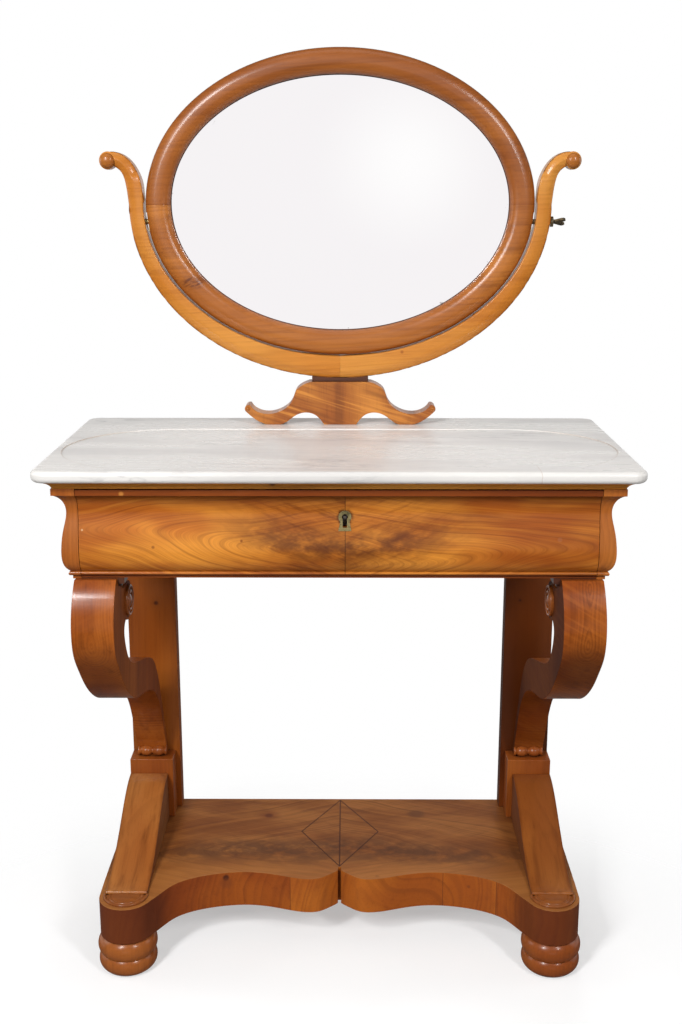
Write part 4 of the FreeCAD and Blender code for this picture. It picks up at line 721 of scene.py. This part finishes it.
def nearest(points, lines):
    # how far each point is from the nearest stretch of an outline, in the front plane
    starts, ends = lines[:, 0], lines[:, 1]
    run = ends - starts
    share = ((points[:, None] - starts) * run).sum(2) / np.maximum((run * run).sum(1), 1e-12)
    foot = starts + np.clip(share, 0, 1)[..., None] * run
    return np.linalg.norm(points[:, None] - foot, axis=2).min(1)


def shoulder(gap, reach, depth, power):
    # how far a rounded edge falls back, at a distance from the outline
    return depth * np.clip(1 - gap / reach, 0, 1) ** power


def frontFaces(shape):
    return [face for face in shape.faces if face.normal.y < -yokeRound["facing"]]


def frontEdges(shape):
    # the edges that lie inside the flat front, and not on its outline
    return list({edge for face in frontFaces(shape) for edge in face.edges
                 if all(other.normal.y < -yokeRound["facing"] for other in edge.link_faces)})


def pieceFrom(shape, name):
    mesh = bpy.data.meshes.new(name)
    shape.to_mesh(mesh)
    shape.free()
    piece = bpy.data.objects.new(name, mesh)
    bpy.context.scene.collection.objects.link(piece)
    return piece


def finished(piece, body, material):
    piece.data.materials.clear()
    piece.data.materials.append(material)
    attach(piece, body)
    return piece


def roundedYoke(name):
    whole = nodes[name]
    shape = bmesh.new()
    shape.from_mesh(whole.data)
    bmesh.ops.remove_doubles(shape, verts=shape.verts, dist=easing["weld"])
    shape.normal_update()
    outlines = {True: [], False: []}   # stretches of the outer edge, and of the inner one
    for edge in shape.edges:
        ends = [vert.co for vert in edge.verts]
        sides = [face for face in edge.link_faces if abs(face.normal.y) < yokeRound["upright"]]
        atJoint = max(abs(end.x) for end in ends) < 0.0001
        if max(end.y for end in ends) > yokeRound["front"] or len(sides) != 1 or atJoint:
            continue
        middle = (ends[0] + ends[1]) / 2
        out = Vector((middle.x, 0, middle.z - mirrorZ))
        outer = sides[0].normal.dot(out) > 0 or middle.z > yokeRound["ballZ"]
        outlines[outer].append([(end.x, end.z) for end in ends])
    # the front is cut into small, even triangles, so that it can be bent
    for _ in range(yokeRound["passes"]):
        bmesh.ops.triangulate(shape, faces=frontFaces(shape))
        long = [edge for edge in frontEdges(shape) if edge.calc_length() > yokeRound["mesh"]]
        if not long:
            break
        bmesh.ops.subdivide_edges(shape, edges=long, cuts=1)
        bmesh.ops.triangulate(shape, faces=frontFaces(shape))
        bmesh.ops.beautify_fill(shape, faces=frontFaces(shape), edges=frontEdges(shape))
    faceVerts = [vert for vert in shape.verts if vert.co.y < yokeRound["front"]]
    flat = np.array([(vert.co.x, vert.co.z) for vert in faceVerts])
    fall = shoulder(nearest(flat, np.array(outlines[True])), *yokeRound["outer"])
    fall = fall + shoulder(nearest(flat, np.array(outlines[False])), *yokeRound["inner"])
    for vert, back in zip(faceVerts, fall):
        vert.co.y += float(back)
    shape.normal_update()
    for face in shape.faces:
        face.smooth = True
    piece = pieceFrom(shape, name + "Rounded")
    piece.data.set_sharp_from_angle(angle=math.radians(yokeRound["sharp"]))
    finished(piece, "carcase", whole.material_slots[0].material)
    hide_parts(name)


for name in ("yoke_left", "yoke_right"):
    roundedYoke(name)


def turned(name, profile, at, towards, body, material, steps=40, sharp=40):
    # a round piece: radius and height pairs, spun about a line
    shape = bmesh.new()
    spin = Vector(towards).to_track_quat("Z", "Y").to_matrix().to_4x4()
    turns = [n * math.tau / steps for n in range(steps)]
    rings = []
    for radius, height in profile:
        if radius == 0:
            rings.append([shape.verts.new(spin @ Vector((0, 0, height)))])
        else:
            rings.append([shape.verts.new(spin @ Vector((radius * math.cos(a), radius * math.sin(a), height)))
                          for a in turns])
    for low, high in zip(rings, rings[1:]):
        for n in range(steps):
            corners = [low[n % len(low)], low[(n + 1) % len(low)],
                       high[(n + 1) % len(high)], high[n % len(high)]]
            unique = list(dict.fromkeys(corners))   # a ring at the tip has one corner only
            if len(unique) > 2:
                shape.faces.new(unique)
    bmesh.ops.recalc_face_normals(shape, faces=shape.faces)
    for face in shape.faces:
        face.smooth = True
    piece = pieceFrom(shape, name)
    piece.data.set_sharp_from_angle(angle=math.radians(sharp))
    piece.location = at
    return finished(piece, body, material)


print("small details")
# Dark bead between the frame's moulding and the glass
sight = {"halfWide": 0.2648, "halfTall": 0.1943, "thick": 0.0011, "y": 0.1655, "round": 3, "smooth": 48}
line = bpy.data.curves.new("sightLine", "CURVE")
line.dimensions = "3D"
line.bevel_depth = sight["thick"]
line.bevel_resolution = sight["round"]
line.resolution_u = sight["smooth"]
oval = line.splines.new("BEZIER")
oval.bezier_points.add(3)
pull = 0.5523   # handle length that makes four curves an ellipse
for n, knot in enumerate(oval.bezier_points):
    c, s = round(math.cos(n * math.pi / 2)), round(math.sin(n * math.pi / 2))
    knot.co = (sight["halfWide"] * c, 0, sight["halfTall"] * s)
    knot.handle_right = (sight["halfWide"] * (c - pull * s), 0, sight["halfTall"] * (s + pull * c))
    knot.handle_left = (sight["halfWide"] * (c + pull * s), 0, sight["halfTall"] * (s - pull * c))
oval.use_cyclic_u = True
sightLine = bpy.data.objects.new("sightLine", line)
sightLine.location = (0, sight["y"], mirrorZ)
bpy.context.scene.collection.objects.link(sightLine)
finished(sightLine, "mirror", darkWoodAndShade)

# Turned eyes on the curled ends of the yoke and of the stand
eyes = {   # across, up, front and radius, and the profile: a dome for the yoke, a ringed disc for the stand
    "yoke": {"at": (0.3592, 1.2156, 0.1495), "radius": 0.0112, "dome": 0.6, "sunk": 0.001, "steps": 8},
    "stand": {"at": (0.1488, 0.8296, 0.146), "radius": 0.0042, "rings": [
        (0, 0.0), (1, 0.0), (1, 0.0004), (0.86, 0.0009), (0.7, 0.0007), (0.62, 0.0002), (0.5, 0.0006),
        (0.28, 0.0012), (0, 0.0015)]},
}
eyeWood = wood("eyeWood", {
    "along": "y", "body": toLinear(158, 92, 34), "light": toLinear(192, 122, 52), "seed": 73.0})
for part, eye in eyes.items():
    x, z, y = eye["at"]
    radius = eye["radius"]
    if "dome" in eye:
        arcs = [step * math.pi / 2 / eye["steps"] for step in range(eye["steps"])]
        rim = [(radius * math.cos(arc), radius * eye["dome"] * math.sin(arc)) for arc in arcs]
        rim = [(0, -eye["sunk"])] + rim + [(0, radius * eye["dome"])]
    else:
        rim = [(radius * share, height) for share, height in eye["rings"]]
    for side, sign in (("left", -1), ("right", 1)):
        turned(f"{part}Eye_{side}", rim, (sign * x, y, z), (0, -1, 0), "carcase", eyeWood)

# Rubbed glue blocks under the case, behind the curled tops of the legs, in dark wood as painted shade in the
# gap there
blocks = {"x": (0.302, 0.362), "y": (-0.168, -0.118), "z": (0.628, 0.6425), "bevel": 0.005}
for side, sign in (("left", -1), ("right", 1)):
    shape = bmesh.new()
    low = [shape.verts.new((sign * x, y, blocks["z"][0])) for x, y in (
        (blocks["x"][0], blocks["y"][0]), (blocks["x"][1], blocks["y"][0]),
        (blocks["x"][1], blocks["y"][1]), (blocks["x"][0], blocks["y"][1]))]
    bottom = shape.faces.new(low)
    raised = bmesh.ops.extrude_face_region(shape, geom=[bottom])["geom"]
    for vert in [thing for thing in raised if isinstance(thing, bmesh.types.BMVert)]:
        vert.co.z = blocks["z"][1]
    bmesh.ops.recalc_face_normals(shape, faces=shape.faces)
    under = [edge for edge in shape.edges if max(vert.co.z for vert in edge.verts) < blocks["z"][0] + 0.0001]
    bmesh.ops.bevel(shape, geom=under, offset=blocks["bevel"], segments=2, affect="EDGES")
    finished(pieceFrom(shape, f"glueBlock_{side}"), "carcase", darkWoodAndShade)

# Hand-made nails along the back board
nails = {"xs": (-0.34, -0.2, -0.07, 0.07, 0.2, 0.34), "zs": (0.668, 0.776), "y": 0.193, "radius": 0.0026,
         "uneven": 0.15, "sides": 7}
for row, z in enumerate(nails["zs"]):
    for column, x in enumerate(nails["xs"]):
        r = nails["radius"] * (1 + nails["uneven"] * math.sin(column * 5 + row * 3))
        head = [(0, 0.0), (r, 0.0), (r * 0.95, 0.0003), (r * 0.5, 0.0008), (0, 0.0009)]
        turned(f"backNail_{row}_{column}", head, (x, nails["y"], z), (0, 1, 0), "carcase", steel,
               nails["sides"])

# Floor, soft studio lamps and a white room for the camera and for reflections
print("floor and light")
stage = {
    "floorRadius": 1.3, "floorSides": 96,
    "floorMiddle": -0.33, "floorOval": 0.7, "floorFade": 0.42, "floorEnd": 0.9,   # it fades away in an oval
    "floorGrey": (0.58, 0.58, 0.58), "floorGlow": 0.44,   # its colour, and what the camera sees on top of it
    "floorGloss": 0.06, "floorDark": 0.88,                # how little of it shows in polished wood
    "roomWhite": 1.0, "roomDim": 0.12, "roomGloss": 0.15,
    "backdrop": (0.12, 0.34), "panelHigh": (0.13, 0.2), "panelWide": (0.19, 0.26),
}
bpy.ops.mesh.primitive_circle_add(vertices=stage["floorSides"], radius=stage["floorRadius"],
                                  fill_type="NGON", location=(0, 0, 0))
floor = bpy.context.object
floor.name = "floor"
floorFinish = Finish("paleFloor")
place, x, y, z = floorFinish.axes()
rays = [floorFinish.node("ShaderNodeLightPath", output=name)
        for name in ("Is Camera Ray", "Is Glossy Ray", "Is Transmission Ray")]
seen = (rays[0] + (rays[1] + rays[2]) * stage["floorGloss"]).clamp()
away = (x * x * stage["floorOval"] + (y - stage["floorMiddle"]) ** 2) ** 0.5
lit = floorFinish.node("ShaderNodeBsdfDiffuse", inputs={0: stage["floorGrey"]})
glow = floorFinish.node("ShaderNodeEmission", inputs={0: (1, 1, 1), 1: stage["floorGlow"]})
dark = floorFinish.node("ShaderNodeEmission", inputs={0: (0, 0, 0), 1: 0.0})
clear = floorFinish.node("ShaderNodeBsdfTransparent")
lift = floorFinish.node("ShaderNodeMixShader", inputs={0: seen, 1: dark, 2: glow})
matt = floorFinish.node("ShaderNodeMixShader", inputs={0: rays[1] * stage["floorDark"], 1: lit, 2: dark})
pale = floorFinish.node("ShaderNodeAddShader", inputs={0: matt, 1: lift})
fade = floorFinish.rise(away, stage["floorFade"], stage["floorEnd"])
floorFinish.node("ShaderNodeOutputMaterial", inputs={0: floorFinish.node(
    "ShaderNodeMixShader", inputs={0: fade, 1: pale, 2: clear})})
floor.data.materials.append(floorFinish.material)

world = bpy.data.worlds.new("whiteRoom")
bpy.context.scene.world = world
world.use_nodes = True
room = Finish("roomLight")
room.tree = world.node_tree
room.tree.nodes.clear()
direct = room.node("ShaderNodeLightPath", output="Is Camera Ray")
mirrored = (room.node("ShaderNodeLightPath", output="Is Glossy Ray")
            + room.node("ShaderNodeLightPath", output="Is Transmission Ray")).clamp()
way = room.node("ShaderNodeTexCoord", output="Generated")
wayX, wayY, wayZ = [room.node("ShaderNodeSeparateXYZ", inputs={0: way}, output=n) for n in range(3)]
# reflections see a white backdrop behind the piece, a white panel in front and a dim room elsewhere
backdrop = (1 - room.rise(abs(wayZ), *stage["backdrop"])) * (wayY > 0)
panel = 1 - room.rise(abs(wayZ), *stage["panelHigh"])
panel = panel * (1 - room.rise(abs(wayX), *stage["panelWide"])) * (wayY < 0)
glossy = (backdrop + panel) * (stage["roomWhite"] - stage["roomGloss"]) + stage["roomGloss"]
other = mirrored * glossy + (1 - mirrored) * stage["roomDim"]
strength = direct * stage["roomWhite"] + (1 - direct) * other
back = room.node("ShaderNodeBackground", inputs={0: (1, 1, 1), 1: strength})
room.node("ShaderNodeOutputWorld", inputs={0: back})

lamps = {
    "leftSoftbox": {"at": (-1.12, -2.0, 1.95), "aim": (0, 0, 0.8), "size": (0.38, 0.95), "power": 45},
    "rightSoftbox": {"at": (1.2, -1.9, 1.95), "aim": (0, 0, 0.8), "size": (0.3, 0.8), "power": 27},
    "leftFlash": {"at": (-0.95, -2.05, 2.27), "aim": (-0.2, 0, 0.6), "size": (0.12, 0.1), "power": 13},
    "overhead": {"at": (0, -0.5, 3.2), "aim": (0, 0, 0.6), "size": (1.6, 1.2), "power": 8},
    "leftSide": {"at": (-2.5, 0.1, 1.3), "aim": (0, 0, 0.8), "size": (1.0, 1.2), "power": 11},
    "rightSide": {"at": (2.5, 0.2, 1.3), "aim": (0, 0, 0.8), "size": (1.0, 1.2), "power": 8},
    "rear": {"at": (0.3, 2.6, 1.7), "aim": (0, 0, 0.8), "size": (1.4, 1.2), "power": 30},
}
for name, lamp in lamps.items():
    data = bpy.data.lights.new(name, "AREA")
    data.shape = "RECTANGLE"
    data.size, data.size_y = lamp["size"]
    data.energy = lamp["power"]
    light = bpy.data.objects.new(name, data)
    light.visible_glossy = name != "rear"   # no glare of it across the marble
    light.location = lamp["at"]
    towards = Vector(lamp["aim"]) - Vector(lamp["at"])
    light.rotation_euler = towards.to_track_quat("-Z", "Y").to_euler()
    bpy.context.scene.collection.objects.link(light)

# The photograph's own viewpoint, worked out from its perspective
view = {"at": (0.012, -1.8706, 1.1686), "down": 14.2, "left": 0.3, "lens": 44.47, "sensor": 36}
cameraData = bpy.data.cameras.new("camera")
cameraData.lens = view["lens"]
cameraData.sensor_width = view["sensor"]
camera = bpy.data.objects.new("camera", cameraData)
camera.location = view["at"]
camera.rotation_euler = (math.radians(90 - view["down"]), 0, math.radians(view["left"]))
bpy.context.scene.collection.objects.link(camera)
bpy.context.scene.camera = camera
bpy.context.scene.view_settings.view_transform = "Standard"
